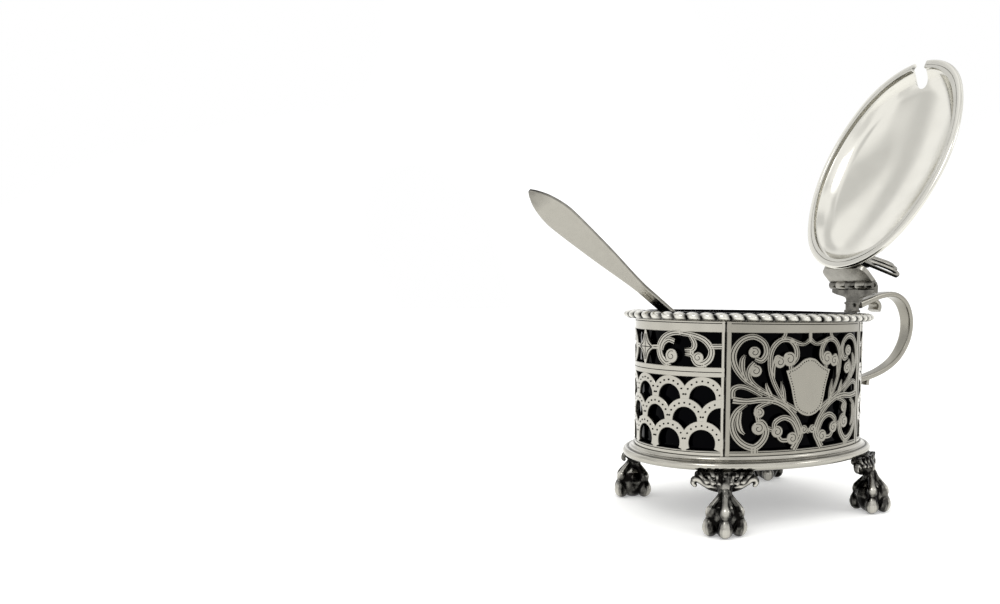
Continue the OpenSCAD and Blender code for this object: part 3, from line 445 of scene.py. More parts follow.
# Scrolls of the left half of a side panel: across from the middle, up from the panel's foot, width.
foliage = [
    [[-16.2, 19, 1.1], [-20.2, 21.6, 1.2], [-23, 25.4, 1.5], [-23.7, 29.4, 1.6], [-21.7, 33, 1.5],
     [-18.4, 34.2, 1.5], [-15.3, 32.6, 1.4], [-14.4, 29.7, 1.6], [-15.8, 27.5, 1.5], [-17.8, 28, 1.2]],
    [[-20, 21.4, 1], [-21.2, 24.6, 1.3], [-21.3, 27.4, 1.3], [-20.6, 29, 0.6]],
    [[-14.2, 18.2, 1], [-17.4, 20.2, 1.1], [-19.3, 22.5, 1.2], [-19.3, 25, 1.3], [-17.9, 26.8, 1.3]],
    [[-23.6, 16.2, 1.8], [-20, 15.8, 1.5], [-15.4, 16.2, 1.5], [-11, 15.5, 1.5], [-7, 13.1, 1.4],
     [-4, 9.5, 1.5], [-2.8, 5.9, 1.6], [-4.2, 3.2, 1.7], [-5.4, 1.4, 1.9]],
    [[-15.6, 17.2, 1], [-19.4, 19.4, 1.2], [-22, 20, 1.3], [-23.7, 19, 1.4], [-23.8, 16.6, 1.4]],
    [[-17, 19, 1.1], [-13, 17.3, 1.2], [-9, 15.4, 1.2], [-6.4, 14, 1.3], [-4.2, 12.7, 1.5]],
    [[-7.2, 13.8, 1], [-10, 17.4, 1.2], [-12.4, 21.9, 1.2], [-13.4, 26.4, 1.3], [-12.8, 30.5, 1.4],
     [-10.4, 33.1, 1.4], [-7.3, 33.3, 1.4], [-5.1, 31.1, 1.5], [-4.8, 28.4, 1.6], [-6.4, 26.5, 1.5]],
    [[-6.9, 26.6, 1.3], [-6.6, 24.9, 1.3]],
    [[-12.4, 22.4, 1], [-12.3, 25.8, 1.1], [-11.3, 28.4, 1.1], [-10, 27.9, 1]],
    [[-9.2, 27.2, 1.2], [-8.2, 27.4, 1.2]],
    [[-8.7, 15.6, 1.2], [-9.2, 18.7, 1.3], [-9.8, 21.5, 0.4]],
    [[-13, 17.3, 1.2], [-14, 19.3, 1.1], [-14.5, 21, 0.4]],
    [[-7.2, 33.4, 1.3], [-4.1, 32.3, 1.2], [-2, 32.2, 1], [0.3, 33.6, 1.4]],
    [[-9.8, 33.4, 1.2], [-8.9, 34.6, 1], [-8.6, 36, 1]],
    [[-20, 15, 1], [-22.5, 12.9, 1.4], [-23.7, 9.6, 1.5], [-22.9, 6, 1.6], [-20.6, 3.4, 1.7],
     [-17.5, 2.5, 1.8], [-15, 4.6, 1.7], [-14.2, 7.3, 1.7], [-15.4, 9.6, 1.6], [-17.2, 9.8, 1.3]],
    [[-21.6, 13, 0.9], [-22, 10, 1.2], [-21.5, 7.6, 1.2], [-20.4, 6.4, 0.6]],
    [[-12.4, 15.6, 1], [-15.1, 14.8, 1.2], [-17, 13.5, 1.3], [-16.8, 11.6, 1.3], [-16.4, 9.8, 1.2]],
    [[-14, 8.1, 1.2], [-12, 7.5, 1.2], [-11.4, 9.6, 1.4], [-8.8, 10.9, 1.4], [-6, 9.9, 1.5],
     [-4.4, 7.6, 1.5], [-3.6, 5, 1.4]],
    [[-10.9, 6.6, 1.2], [-9.4, 4.4, 1.1], [-6.6, 4.3, 1.2]],
    [[-3, 6, 1.2], [-1.7, 7.3, 1.3], [0.2, 6.3, 1.2]],
    [[-17.5, 2.4, 1.8], [-17.5, 0.8, 1.8]]]
foliage_bosses = [(-18, 29.8, 1.4), (-17.6, 24.5, 1.5), (-7.2, 27.8, 1.8), (-10.4, 27, 1.5), (-16.5, 8, 1.6),
                  (-16.4, 12.5, 1.3), (-10.8, 6.9, 1.5), (-5.7, 4.7, 1.6), (-1.6, 7.1, 1.1)]
shield_top = spline([[-8.4, 24.5], [-6.2, 25.2], [-4.2, 26.3], [-2.2, 27.7], [0, 28.2]], 6)
shield_low = spline([[-8.4, 24.5], [-7.5, 22], [-6.6, 19.4], [-5.9, 16.4], [-5, 13.6], [-3.3, 11.9],
                     [-1.4, 11.1], [0, 10.9]], 6)
SHIELD_MID, DRAWN_HALF = 19.6, 24.2
side_window = SIDE_R * math.sin((SIDE_LEN - SEAM_EDGE) / SIDE_R)
side_edge = SIDE_R * math.sin(SIDE_LEN / SIDE_R)
side_fit = side_window / DRAWN_HALF


def side_place(side):
    """Places a drawn point on the side arc that faces +Y or -Y."""
    def place(x, v, lift):
        a = math.asin(max(-0.99, min(0.99, x / SIDE_R)))
        r = SIDE_R + lift
        return r * math.sin(a), side * (r * math.cos(a) - SIDE_C), PANEL_Z + v
    return place


for side, name in ((-1, "right_panel"), (1, "left_panel")):
    sheet = Sheet(side_place(side))
    for strip in foliage:
        for m in (1, -1):
            sheet.ribbon([(m * side_fit * x, v, SIDE_SCROLL * w) for x, v, w in strip],
                         lines=engraved(strip))
    sheet.ribbon([(0, 32.8, 1.3), (0, 36, 1.3)], lines=())
    for x, v, r in foliage_bosses:
        for m in (1, -1):
            sheet.boss(m * side_fit * x, v, SIDE_SCROLL * r)
    columns = []
    for x in np.concatenate([np.linspace(-8.36, -7, 8), np.linspace(-6.8, 6.8, 41),
                             np.linspace(7, 8.36, 8)]):
        top, low = along_line(-abs(x), shield_top), along_line(-abs(x), shield_low)
        columns.append((side_fit * x, min(low, top - 0.1), top))
    sheet.between(columns)
    for edge_line in (shield_top, shield_low):
        outline = [(p[0] * 0.88, SHIELD_MID + (p[1] - SHIELD_MID) * 0.9) for p in edge_line]
        walk = np.cumsum([0] + [math.dist(outline[i], outline[i + 1]) for i in range(len(outline) - 1)])
        for s in np.arange(0.4, walk[-1], 0.8):
            x, v = (np.interp(s, walk, [p[k] for p in outline]) for k in (0, 1))
            for m in (1, -1):
                sheet.dot(m * side_fit * x, v, 0.2)
    wide, strip_w = np.linspace(-side_edge, side_edge, 30), side_edge - side_window
    sheet.ribbon([(x, BOTTOM_STRIP / 2, BOTTOM_STRIP) for x in wide], 1, lines=(0.2,))
    sheet.ribbon([(x, PANEL_H - TOP_STRIP / 2, TOP_STRIP) for x in wide], 1, lines=(0.3,))
    for m in (1, -1):
        middle = m * (side_window + side_edge) / 2
        sheet.ribbon([(middle, 0, strip_w), (middle, PANEL_H, strip_w)], 12, lines=())
    make_piece(name + "_sawn", sheet.points, sheet.faces, painted_darker_silver, "pot", [name], sheet.dark)

# End panels: sheet silver with three rows of overlapping scales under a band of scrolls and a lozenge.
# Every scale is punched with a row of dots; bent to the end arcs and soldered at the seams.
BAND_H, BAR_H, SCALE_RISE, SCALE_BAND, SCALES, SEAM_GAP = 9.8, 2.9, 6.35, 2.6, 5, 0.5
scale_pitch = 2 * (END_LEN - SEAM_EDGE) / SCALES
arch_out = scale_pitch / 2 + 1.15
arch_in = arch_out - SCALE_BAND
band_v = PANEL_H - TOP_STRIP - BAND_H
bar_v = band_v - BAR_H
scale_v = bar_v - arch_out + 0.2
band_mid, end_reach = band_v + BAND_H / 2, END_LEN - SEAM_GAP
# The scales' sawn sides and outer edges are darkened: partly oxide, partly painted dark reflection.
scale_section = [(arch_in, -PANEL_T, 1), (arch_in, -0.15, 0.75), (arch_in + 0.15, 0, 0),
                 (arch_out - 0.12, 0, 0), (arch_out, -0.12, 0.6), (arch_out, -PANEL_T, 1)]
band_scrolls = [
    [[-0.6, 4.6, 1.2], [-5, 4.0, 1.3], [-8.5, 2.6, 1.5], [-10.4, 0, 1.5], [-9.9, -2.6, 1.6], [-8.1, -4, 1.6],
     [-6.3, -3.9, 1.5], [-5.1, -2.5, 1.3]],
    [[-3.9, 4.2, 1], [-5.4, 1.8, 1.3], [-4.9, 0, 1.3], [-2.6, -0.2, 0.8]],
    [[-5.3, -2.4, 1.3], [-4.5, -1.5, 1.2], [-2.7, -1.4, 0.8]],
    [[-4.7, -1.3, 1], [-4.8, -0.2, 1]],
    [[-1.2, 4.7, 1.3], [1.8, 4.4, 1.3], [4.7, 3, 1.5], [6.4, 0.4, 1.7], [5.9, -2.4, 1.7], [3.9, -4.2, 1.5],
     [2.1, -3.9, 1.3]],
    [[0.8, 2, 1.3], [2.9, 2.5, 1.3], [4.7, 1.4, 1.1], [5.5, -0.4, 1]],
    [[6.4, 0.3, 1.1], [9.4, 0.1, 1]],
    [[-13.6, 1, 1.2], [-10, 0.9, 1.3]],
    [[-8.4, -4.1, 1.3], [-8.2, -5.4, 1.3]],
    [[3.5, -4.2, 1.3], [3.2, -5.4, 1.3]],
    [[-1, 4.6, 1.4], [-0.9, 5.6, 1.4]]]
band_bosses = [(-6.6, -2.3, 1.25), (1.9, -2.1, 1.6)]
lozenge_edge = spline([[-4.9, 0], [-1.95, 1.75], [-0.35, 5.2]], 6)


def end_place(end):
    """Places a point, given by arc length and height, on the end arc that faces +X or -X."""
    def place(s, v, lift):
        r = END_R + lift
        return end * (END_C + r * math.cos(s / END_R)), r * math.sin(s / END_R), PANEL_Z + v
    return place


for end, shift, name in ((-1, 0, "front_panel"), (1, 1, "back_panel")):
    sheet = Sheet(end_place(end))
    for row in range(3):
        v = scale_v - row * SCALE_RISE
        half = (SCALES - 1) / 2 + (0 if row % 2 == shift else 0.5)
        for k in np.arange(-half, half + 0.1, 1.0):
            s0, base = k * scale_pitch, 0.02 * row
            bands = []
            for a in np.radians(np.linspace(-22, 202, 40)):
                bands.append([(max(-end_reach, min(end_reach, s0 + q * math.cos(a))),
                               max(0.2, min(PANEL_H, v + q * math.sin(a))), lift + base, dark_here)
                              for q, lift, dark_here in scale_section])
            sheet.rows(bands)
            for a in np.radians(np.linspace(14, 166, 9)):
                s = s0 + (arch_in + 1.25) * math.cos(a)
                if abs(s) < END_LEN - SEAM_EDGE:
                    sheet.dot(s, v + (arch_in + 1.25) * math.sin(a), 0.28)
    middle = (END_LEN - SEAM_EDGE) / 2
    for m in (1, -1):
        for strip in band_scrolls:
            sheet.ribbon([(m * (-middle + x), band_mid + v, BAND_SCROLL * w) for x, v, w in strip],
                         lines=engraved(strip))
        for x, v, r in band_bosses:
            sheet.boss(m * (-middle + x), band_mid + v, BAND_SCROLL * r)
    columns = []
    for x in np.linspace(-4.85, 4.85, 41):
        tall = max(0.12, along_line(-abs(x), lozenge_edge)) if abs(x) > 0.35 else 5.2
        columns.append((x, band_mid - tall, band_mid + tall))
    sheet.between(columns)
    cross_lines = [[(-2.9, 0), (2.9, 0)], [(0, -3.4), (0, 3.4)]]
    cross_lines += [[(m * p[0] * 0.72, n * p[1] * 0.72) for p in lozenge_edge]
                    for m in (1, -1) for n in (1, -1)]
    for line in cross_lines:
        sheet.engrave([(x, band_mid + v) for x, v in line])
    wide = np.linspace(-end_reach, end_reach, 36)
    for v0, v1, line in ((0, BOTTOM_STRIP, 0.2), (bar_v, band_v, 0.0),
                         (PANEL_H - TOP_STRIP, PANEL_H, 0.3)):
        sheet.layer += 3
        sheet.ribbon([(s, (v0 + v1) / 2, v1 - v0) for s in wide], 1, lines=(line,))
    for m in (1, -1):
        strip_w = SEAM_EDGE - SEAM_GAP
        seam = m * (END_LEN - SEAM_GAP - strip_w / 2)
        sheet.ribbon([(seam, 0, strip_w), (seam, PANEL_H, strip_w)], 12, lines=())
        # The joint itself is a narrow dark gap beside the strip.
        gap = ((0, -PANEL_T), (0, -0.2), (SEAM_GAP + 0.1, -0.2), (SEAM_GAP + 0.1, -PANEL_T))
        sheet.rows([[(m * (END_LEN - q), v, lift, 1.0) for q, lift in gap]
                    for v in np.linspace(0, PANEL_H, 12)])
    make_piece(name + "_sawn", sheet.points, sheet.faces, middle_tone_silver, "pot", [name], sheet.dark)

# Gadroon border: a cast strip of slanting lobes bent round the oval and soldered to the panels' top edge.
# The lobes are worn bright and the grooves between them hold dark oxide, which painted shade widens on the
# lobes' lower outer side; under the hinge post they are left full and filed flat, as the seat that the post
# is soldered to.
RIM_OVER, GADROONS, WALL_T = 3.5, 56, 1.0
lobe_out, lobe_up, lobe_steps = 2.1, 1.25, 14
lobe_x, lobe_z = RIM_OVER - lobe_out, RIM_TOP - lobe_up
seat_half, seat_end = 3.4, 0.3
rim_points, rim_dark, rim_steps = [], [], GADROONS * lobe_steps
for i in range(rim_steps):
    s = 4 * QUARTER * i / rim_steps
    rows = [(-WALL_T, RIM_Z, 0.3), (lobe_x + 0.8, RIM_Z, 0.8)]
    mid_x, mid_y = oval_point(s, 0)
    seat = max(0.0, min(1.0, (seat_half + seat_end - abs(mid_y)) / seat_end)) if mid_x > 0 else 0.0
    for a in np.linspace(-30, 150, 13):
        wave = abs(math.cos(math.radians(360 * i / lobe_steps + 0.7 * a) / 2))
        f = 0.45 + 0.55 * wave ** 0.6
        f += seat * (1 - f)
        lobe_top = lobe_z + lobe_up * f * math.sin(math.radians(a))
        if 0 < a <= 90:
            lobe_top += seat * (RIM_TOP - lobe_top)
        # Groove darkness: oxide, widened towards the lobes' lower outer side as painted shade.
        rows.append((lobe_x + lobe_out * f * math.cos(math.radians(a)), lobe_top,
                     min(1.0, max(0.5 * seat, 1.25 - 1.25 * wave / np.interp(a, (0, 90), (0.9, 0.45))))))
    rows.append((-WALL_T, RIM_TOP - 0.7, 0.5))
    rim_points += [(*oval_point(s, row[0]), row[1]) for row in rows]
    rim_dark += [row[2] for row in rows]
make_piece("gadroon_rim_cast", rim_points, tube_faces(rim_steps, len(rows), True), painted_lighter_silver, "pot",
           ["gadroon_rim"], rim_dark, angle=60)

# Liner: a cup of deep blue glass, blown into an oval mould and ground flat at its rim, standing loose on the
# ledge. Its wall and rim are swept round the oval, and the two floors are filled in.
LEDGE_TOP, LINER_OUT, LINER_T, LINER_FLOOR = 19.3, 1.7, 1.8, 2.6
liner_in, liner_low = -LINER_OUT - LINER_T, LEDGE_TOP + LINER_FLOOR
liner_section = ([(-LINER_OUT - 1.2, LEDGE_TOP)]
                 + arc_points(-LINER_OUT - 1.0, LEDGE_TOP + 1.0, 1.0, -90, 0, 5)
                 + arc_points(-LINER_OUT - 0.5, RIM_TOP - 0.5, 0.5, 0, 90, 4)
                 + arc_points(liner_in + 0.5, RIM_TOP - 0.5, 0.5, 90, 180, 4)
                 + arc_points(liner_in - 1.5, liner_low + 1.5, 1.5, 0, -90, 5)
                 + [(liner_in - 1.9, liner_low)])
liner_steps, liner_n = 160, len(liner_section)
liner_faces = tube_faces(liner_steps, liner_n, True, seam=False)
liner_faces += [tuple(i * liner_n + j for i in range(liner_steps)) for j in (0, liner_n - 1)]
make_piece("glass_liner_blown", sweep(liner_section, liner_steps), liner_faces, cobalt, "pot",
           ["glass_liner"], angle=40)

# Feet: four cast silver claws gripping balls, each with a fluted shell at the knee and a curled leaf on
# either side, soldered under the base moulding at the seams. The balls and the hollows are black with oxide;
# the rest is darkened partly by oxide and partly by painted dark reflection, with painted shade under the
# moulding and painted highlights where knuckles, claws and flutes face outwards.
FOOT_REACH, BALL_R, KNEE_W = 5.4, 4.4, 18.5
BALL_Z = BALL_R * 0.94


def add_limb(parts, stations, steps=6, n=14):
    """Adds a round-ended limb, through stations of out, across, up and radius, to points and faces."""
    c = spline(stations, steps)
    ends = []
    for k, along in ((0, c[1][:3] - c[0][:3]), (-1, c[-1][:3] - c[-2][:3])):
        along = along / np.linalg.norm(along) * (-1 if k == 0 else 1)
        ends.append([np.append(c[k][:3] + along * c[k][3] * math.sin(b), c[k][3] * math.cos(b))
                     for b in (0.5, 1.0, 1.45)])
    c = ends[0][::-1] + c + ends[1]
    start = len(parts[0])
    for i, station in enumerate(c):
        d = heading(c, i, 3)
        u = np.cross(d, (0.31, 0.11, 0.02) if abs(d[2]) > 0.9 else (0, 0, 1))
        u = u / np.linalg.norm(u)
        w = np.cross(d, u)
        parts[0].extend(station[:3] + station[3] * (u * math.cos(a) + w * math.sin(a))
                        for a in full_turn(n))
    parts[1].extend(tube_faces(len(c), n, caps=True, start=start))


claw = ([], [])
h = FOOT_H
talon = [(BALL_R * q, h * z, w) for q, z, w in (
    (0.2, 0.7, 1.0), (0.36, 0.62, 1.0), (0.6, 0.55, 1.05), (0.82, 0.485, 1.2), (0.93, 0.425, 1.65),
    (0.98, 0.365, 1.65), (1.02, 0.3, 1.3), (1.04, 0.24, 1.85), (1.03, 0.17, 2.25), (1.0, 0.13, 2.3))]
for turn in (0, 66, -66, 180):
    c, s = math.cos(math.radians(turn)), math.sin(math.radians(turn))
    add_limb(claw, [(FOOT_REACH + c * q, s * q, z, w) for q, z, w in talon], 4)
add_limb(claw, [(FOOT_REACH, 0, h * z, w)
                for z, w in ((0.66, 1.8), (0.58, 2.1), (0.5, 3.0), (0.42, 4.1), (0.3, 4.9))])
neck_x, neck_z = FOOT_REACH - 0.4, h * 0.67
add_limb(claw, [(neck_x, 0, neck_z - 2.4, 1.9), (neck_x - 0.3, 0, neck_z, 2.0),
                (neck_x - 0.7, 0, neck_z + 2, 2.4), (FOOT_REACH - 3.2, 0, h - 1.6, 3.2)])
for k in range(7):
    f = k / 3 - 1
    add_limb(claw, [(FOOT_REACH - 0.5 - 1.1 * f * f, KNEE_W * 0.4 * f, h - 0.3, 0.7),
                    (FOOT_REACH - 0.4 - 0.9 * f * f, KNEE_W * 0.34 * f, h - 1.9 + 0.3 * abs(f), 0.6),
                    (FOOT_REACH + 0.1 - 0.9 * f * f, KNEE_W * 0.28 * f, h - 3.4 + 0.7 * abs(f), 0.78),
                    (FOOT_REACH - 0.2 - 0.8 * f * f, KNEE_W * 0.24 * f, h - 4.1 + 0.9 * abs(f), 0.4)], 3)
leaf = ((2.5, 0.2, 4.4, 1.2), (2.4, 0.31, 3.2, 1.2), (2.3, 0.41, 2.2, 1.05), (2.2, 0.475, 2.3, 0.85),
        (2, 0.485, 3.3, 0.75), (1.9, 0.45, 3.9, 0.6))
for m in (-1, 1):
    add_limb(claw, [(FOOT_REACH - 2.6, m * 1.6, neck_z + 0.6, 1.0)]
             + [(FOOT_REACH - q, m * KNEE_W * y, h - z, w) for q, y, z, w in leaf], 4)
    add_limb(claw, [(FOOT_REACH - 3.2, m * KNEE_W * 0.1, h - 1.6, 1.7),
                    (FOOT_REACH - 3.2, m * KNEE_W * 0.4, h - 1.0, 1.2)], 4)


def cavities(mesh, rounds, depth):
    """How deep each point lies under the smoothed surface: positive in hollows, negative on ridges."""
    count = len(mesh.vertices)
    place, normal, edge = np.empty(count * 3), np.empty(count * 3), np.empty(len(mesh.edges) * 2, int)
    mesh.vertices.foreach_get("co", place)
    mesh.vertices.foreach_get("normal", normal)
    mesh.edges.foreach_get("vertices", edge)
    place, normal, edge = place.reshape(-1, 3), normal.reshape(-1, 3), edge.reshape(-1, 2)
    a, b = np.concatenate([edge[:, 0], edge[:, 1]]), np.concatenate([edge[:, 1], edge[:, 0]])
    links = np.maximum(np.bincount(a, minlength=count), 1)
    smooth = place.copy()
    for _ in range(rounds):
        smooth = np.stack([np.bincount(a, smooth[b, k], minlength=count) / links for k in range(3)], 1)
    return ((smooth - place) * normal).sum(1) / depth


foot_mesh = bpy.data.meshes.new("claw_foot")
foot_mesh.from_pydata([Vector(p) * MM for p in claw[0]], [], claw[1])
foot = bpy.data.objects.new("claw_foot", foot_mesh)
scene.collection.objects.link(foot)
bpy.ops.object.select_all(action="DESELECT")
bpy.ops.mesh.primitive_uv_sphere_add(segments=48, ring_count=32, radius=BALL_R * MM,
                                     location=(FOOT_REACH * MM, 0, BALL_Z * MM))
bpy.ops.object.transform_apply(location=True)
foot.select_set(True)
bpy.context.view_layer.objects.active = foot
bpy.ops.object.join()
face_outwards()
remesh = foot.modifiers.new("cast", "REMESH")
remesh.mode = "VOXEL"
remesh.voxel_size = 0.2 * MM
bpy.ops.object.modifier_apply(modifier="cast")
polish = foot.modifiers.new("polish", "SMOOTH")
polish.factor = 0.5
polish.iterations = 3
bpy.ops.object.modifier_apply(modifier="polish")
bpy.ops.object.mode_set(mode="EDIT")
for height, keep_above in ((h, False), (0.0, True)):
    bpy.ops.mesh.select_all(action="SELECT")
    bpy.ops.mesh.bisect(plane_co=(0, 0, height * MM), plane_no=(0, 0, 1), use_fill=True,
                        clear_inner=keep_above, clear_outer=not keep_above)
face_outwards()
foot_z = np.array([v.co.z for v in foot.data.vertices]) / MM
foot_normal = np.array([v.normal for v in foot.data.vertices])
ball_place = np.array([(v.co.x - FOOT_REACH * MM, v.co.y, v.co.z - BALL_Z * MM)
                       for v in foot.data.vertices]) / MM
away = np.linalg.norm(ball_place, axis=1)
# The knuckles, the claws and the tips of the flutes are lighter where they face outwards: partly rubbed wear,
# partly painted highlight.
claw_highlight_and_wear = np.interp((foot_normal * ball_place).sum(1) / away, (0.8, 0.98), (0, 0.72)) * (away > BALL_R + 0.9)
knee_highlight_and_wear = np.interp(foot_normal @ np.array((0.97, 0, -0.25)), (0.78, 0.98), (0, 0.75))
# The painted highlight on the talons fades in the crease between knuckle and claw, and is weaker higher up
# the talons.
claw_highlight_and_wear *= (np.clip(abs(foot_z - h * 0.305) / 0.9, 0, 1)
             * np.interp(foot_z, (h * 0.46, h * 0.52), (1, 0.45)))
highlight_and_wear = np.where(foot_z > h * 0.74, knee_highlight_and_wear, claw_highlight_and_wear)
hollow = cavities(foot.data, 16, 0.1 * MM)
# Every point starts nearly black: partly oxide, partly a painted dark reflection. Hollows add oxide and the
# painted highlights lift it.
foot_dark = np.clip(0.94 + 0.7 * np.maximum(hollow, 0) + 0.08 * np.minimum(hollow, 0) - highlight_and_wear, 0.15, 1)
# Darker towards the top of the foot: painted shade under the base moulding.
foot_dark = np.maximum(foot_dark, np.interp(foot_z, (h - 1.7, h - 0.7), (0, 0.97)))
foot_dark = np.maximum(foot_dark, 0.95 * (away < BALL_R + 0.15))
foot_points = [tuple(v.co / MM) for v in foot.data.vertices]
foot_faces = [tuple(face.vertices) for face in foot.data.polygons]
bpy.data.objects.remove(foot)
stand = (Matrix.Translation((END_C, 0, 0)) @ Matrix.Rotation(JOINT, 4, "Z")
         @ Matrix.Translation((END_R, 0, 0)))
for end, end_name in ((-1, "front"), (1, "back")):
    for side, side_name in ((1, "left"), (-1, "right")):
        turned = Matrix.Diagonal((end, side, 1, 1)) @ stand
        name = "foot_%s_%s" % (end_name, side_name)
        make_piece(name + "_cast", [turned @ Vector(p) for p in foot_points], foot_faces, dark_silver, "pot",
                   [name], foot_dark, angle=60)

# Handle: a strap of silver, forged to a taper, bent to a loop with a small scroll at either end.
# Its top is soldered behind the hinge post and its lower end on the back panel.
HINGE_X, HINGE_Z, POST_TOP, POST_BACK = 42.0, 71.2, 65.4, 43.7
strap_top_w, strap_low_w, strap_t, strap_out = 6.2, 4.2, 2.0, 69.5
strap_top, strap_low = HINGE_Z - 2.9, PANEL_Z + 17
strap_span = strap_top - strap_low
strap_path = [[POST_BACK + 0.35, POST_TOP - 0.9, strap_t + 0.6],
              [POST_BACK + 4, POST_TOP + 0.4, strap_t + 0.3],
              [strap_out - 15.5, strap_top - 0.5, strap_t], [strap_out - 9, strap_top - 0.1, strap_t]]
strap_path += [[strap_out - back, strap_top - strap_span * drop, strap_t] for back, drop in (
    (3.7, 0.1), (1, 0.3), (1.8, 0.53), (6, 0.74), (12.5, 0.88), (20.5, 0.965))]
strap_path += [[strap_out - 27, strap_low + 0.2, strap_t + 0.4],
               [BODY_HALF_L - 0.3, strap_low, strap_t + 0.8]]
upper_curl = [[POST_BACK + back, POST_TOP + up, t] for back, up, t in (
    (6.6, 1, 1.4), (8.6, -0.2, 1.6), (9.1, -1.6, 1.9), (8.6, -2.9, 2.1))]
lower_curl = [[strap_out - 20.3, strap_top - strap_span * 0.965, 1.4],
              [strap_out - 20.7, strap_low - 0.6, 1.6], [strap_out - 20.8, strap_low - 1.6, 1.9]]
strap_points, strap_faces, strap_n = [], [], 24
for path_points, narrow in ((strap_path, 1.0), (upper_curl, 0.96), (lower_curl, 0.96)):
    c = spline(path_points, 8)
    start = len(strap_points)
    for i, (x, z, t) in enumerate(c):
        d = heading(c, i)
        w = narrow * np.interp(z, (strap_low - 4, strap_top + 4), (strap_low_w, strap_top_w)) / 2
        for a in full_turn(strap_n):
            across = w * math.copysign(abs(math.cos(a)) ** 0.42, math.cos(a))
            out_by = t / 2 * math.copysign(abs(math.sin(a)) ** 0.42, math.sin(a))
            strap_points.append((x - out_by * d[1], across, z + out_by * d[0]))
    strap_faces += tube_faces(len(c), strap_n, caps=True, start=start)
make_piece("handle_forged", strap_points, strap_faces, painted_darker_silver, "pot", ["handle"], angle=50)

# Hinge and ledge: a short cast post on the rim, a lower leaf on the post and an upper leaf under the lid,
# each leaf with its knuckles, on one drawn pin of hard silver; and the flat ring soldered inside the base
# for the glass to stand on. Their filed edges are only just broken.
broken_edges = {"hinge_post": 0.25, "lower_hinge_leaf": 0.1, "upper_hinge_leaf": 0.1, "hinge_pin": 0.1,
                "liner_ledge": 0.15}
for name, width in broken_edges.items():
    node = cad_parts[name]
    weld = node.modifiers.new("weld", "WELD")
    weld.merge_threshold = 0.002 * MM
    edges = node.modifiers.new("broken_edges", "BEVEL")
    edges.width = width * MM
    edges.segments = 2
    edges.limit_method = "ANGLE"
    edges.angle_limit = math.radians(40)
    node.data.materials.clear()
    node.data.materials.append(worn_silver if name == "upper_hinge_leaf" else black_silver)

# Lid: a raised oval dome of sheet silver on a flat drawn border with a turned edge, both cut out for the
# spoon, polished inside as well as out. It is drawn shut here and swung open about the hinge pin.
LID_OVER, LID_Z, BORDER_W, EDGE_R, NOTCH_W, NOTCH_D = 2.0, 62.1, 3.0, 0.8, 6.2, 8.0
DOME_H, DOME_T, LID_OPEN, DOME_Z, LID_L, LID_LONG = 10.0, 0.9, 116, 63.3, 40.0, 1.03
notch_x = LID_L - 2 * LID_L * LID_LONG + NOTCH_D - NOTCH_W / 2
pin_place = Vector((HINGE_X, 0, HINGE_Z))
swing = (Matrix.Translation(pin_place) @ Matrix.Rotation(math.radians(LID_OPEN), 4, "Y")
         @ Matrix.Translation(-pin_place))
inner_edge = LID_OVER - BORDER_W
border_section = ([(inner_edge, LID_Z + 0.12, 0.4), (inner_edge + 0.12, LID_Z, 0),
                   (inner_edge + 0.75, LID_Z, 0), (inner_edge + 0.9, LID_Z + 0.14, 0.8),
                   (inner_edge + 1.05, LID_Z, 0)]
                  + arc_points(LID_OVER - EDGE_R, LID_Z + EDGE_R, EDGE_R, -90, 140, 14, 0)
                  + [(LID_OVER - 1.55, DOME_Z - 0.12, 0.9), (LID_OVER - 1.7, DOME_Z, 0),
                     (inner_edge, DOME_Z, 0)])
border_steps = 200
half_gap = END_R * math.asin(NOTCH_W / 2 / END_R)
border_points, border_dark = [], []
for i in range(border_steps + 1):
    s = 2 * QUARTER + half_gap + (4 * QUARTER - 2 * half_gap) * i / border_steps
    for off, z, dark_here in border_section:
        x, y = oval_point(s, off)
        if i in (0, border_steps):
            y = math.copysign(NOTCH_W / 2, y)
            x = -END_C - math.sqrt((END_R + off) ** 2 - y * y)
        if off < inner_edge + 0.2:
            # The inner edge lies just inside the dome's own oval all the way round.
            f = min(1.0, 1 / math.hypot(x / (BODY_HALF_L - 1.1), y / (BODY_HALF_W - 1.1)))
            x, y = x * f, y * f
        border_points.append(swing @ Vector((LID_L + (x - LID_L) * LID_LONG, y, z)))
        border_dark.append(dark_here)
border_faces = tube_faces(border_steps + 1, len(border_section), caps=True)
make_piece("lid_border_drawn", border_points, border_faces, painted_lighter_silver, "lid", ["lid_border"],
           border_dark, angle=40)

dome_l, dome_w = BODY_HALF_L + LID_OVER - BORDER_W + 1, BODY_HALF_W + LID_OVER - BORDER_W + 1
shoulder_r, shoulder_a = 14.0, math.radians(33)
shoulder_x, shoulder_z = dome_l - shoulder_r * math.cos(shoulder_a), -shoulder_r * math.sin(shoulder_a)
crown_r = ((shoulder_r ** 2 - shoulder_x ** 2 - (shoulder_z - DOME_H) ** 2)
           / (2 * (shoulder_z - DOME_H + shoulder_r)))
crown_a = math.atan2(shoulder_x, shoulder_z - DOME_H + crown_r)


def dome_outline(drop):
    """Half outline of the dome from its crown to its edge, drop below the outer face."""
    crown, shoulder = crown_r - drop, shoulder_r - drop
    line = [(crown * math.sin(a), crown * math.cos(a) + DOME_H - crown_r)
            for a in (crown_a * i / 26 for i in range(1, 27))]
    for i in range(1, 17):
        a = crown_a + (math.pi / 2 - shoulder_a - crown_a) * i / 16
        line.append((shoulder_x + shoulder * math.sin(a), shoulder_z + shoulder * math.cos(a)))
    return [(q, z) for q, z in line if z > 0] + [(line[-1][0], 0.0)]


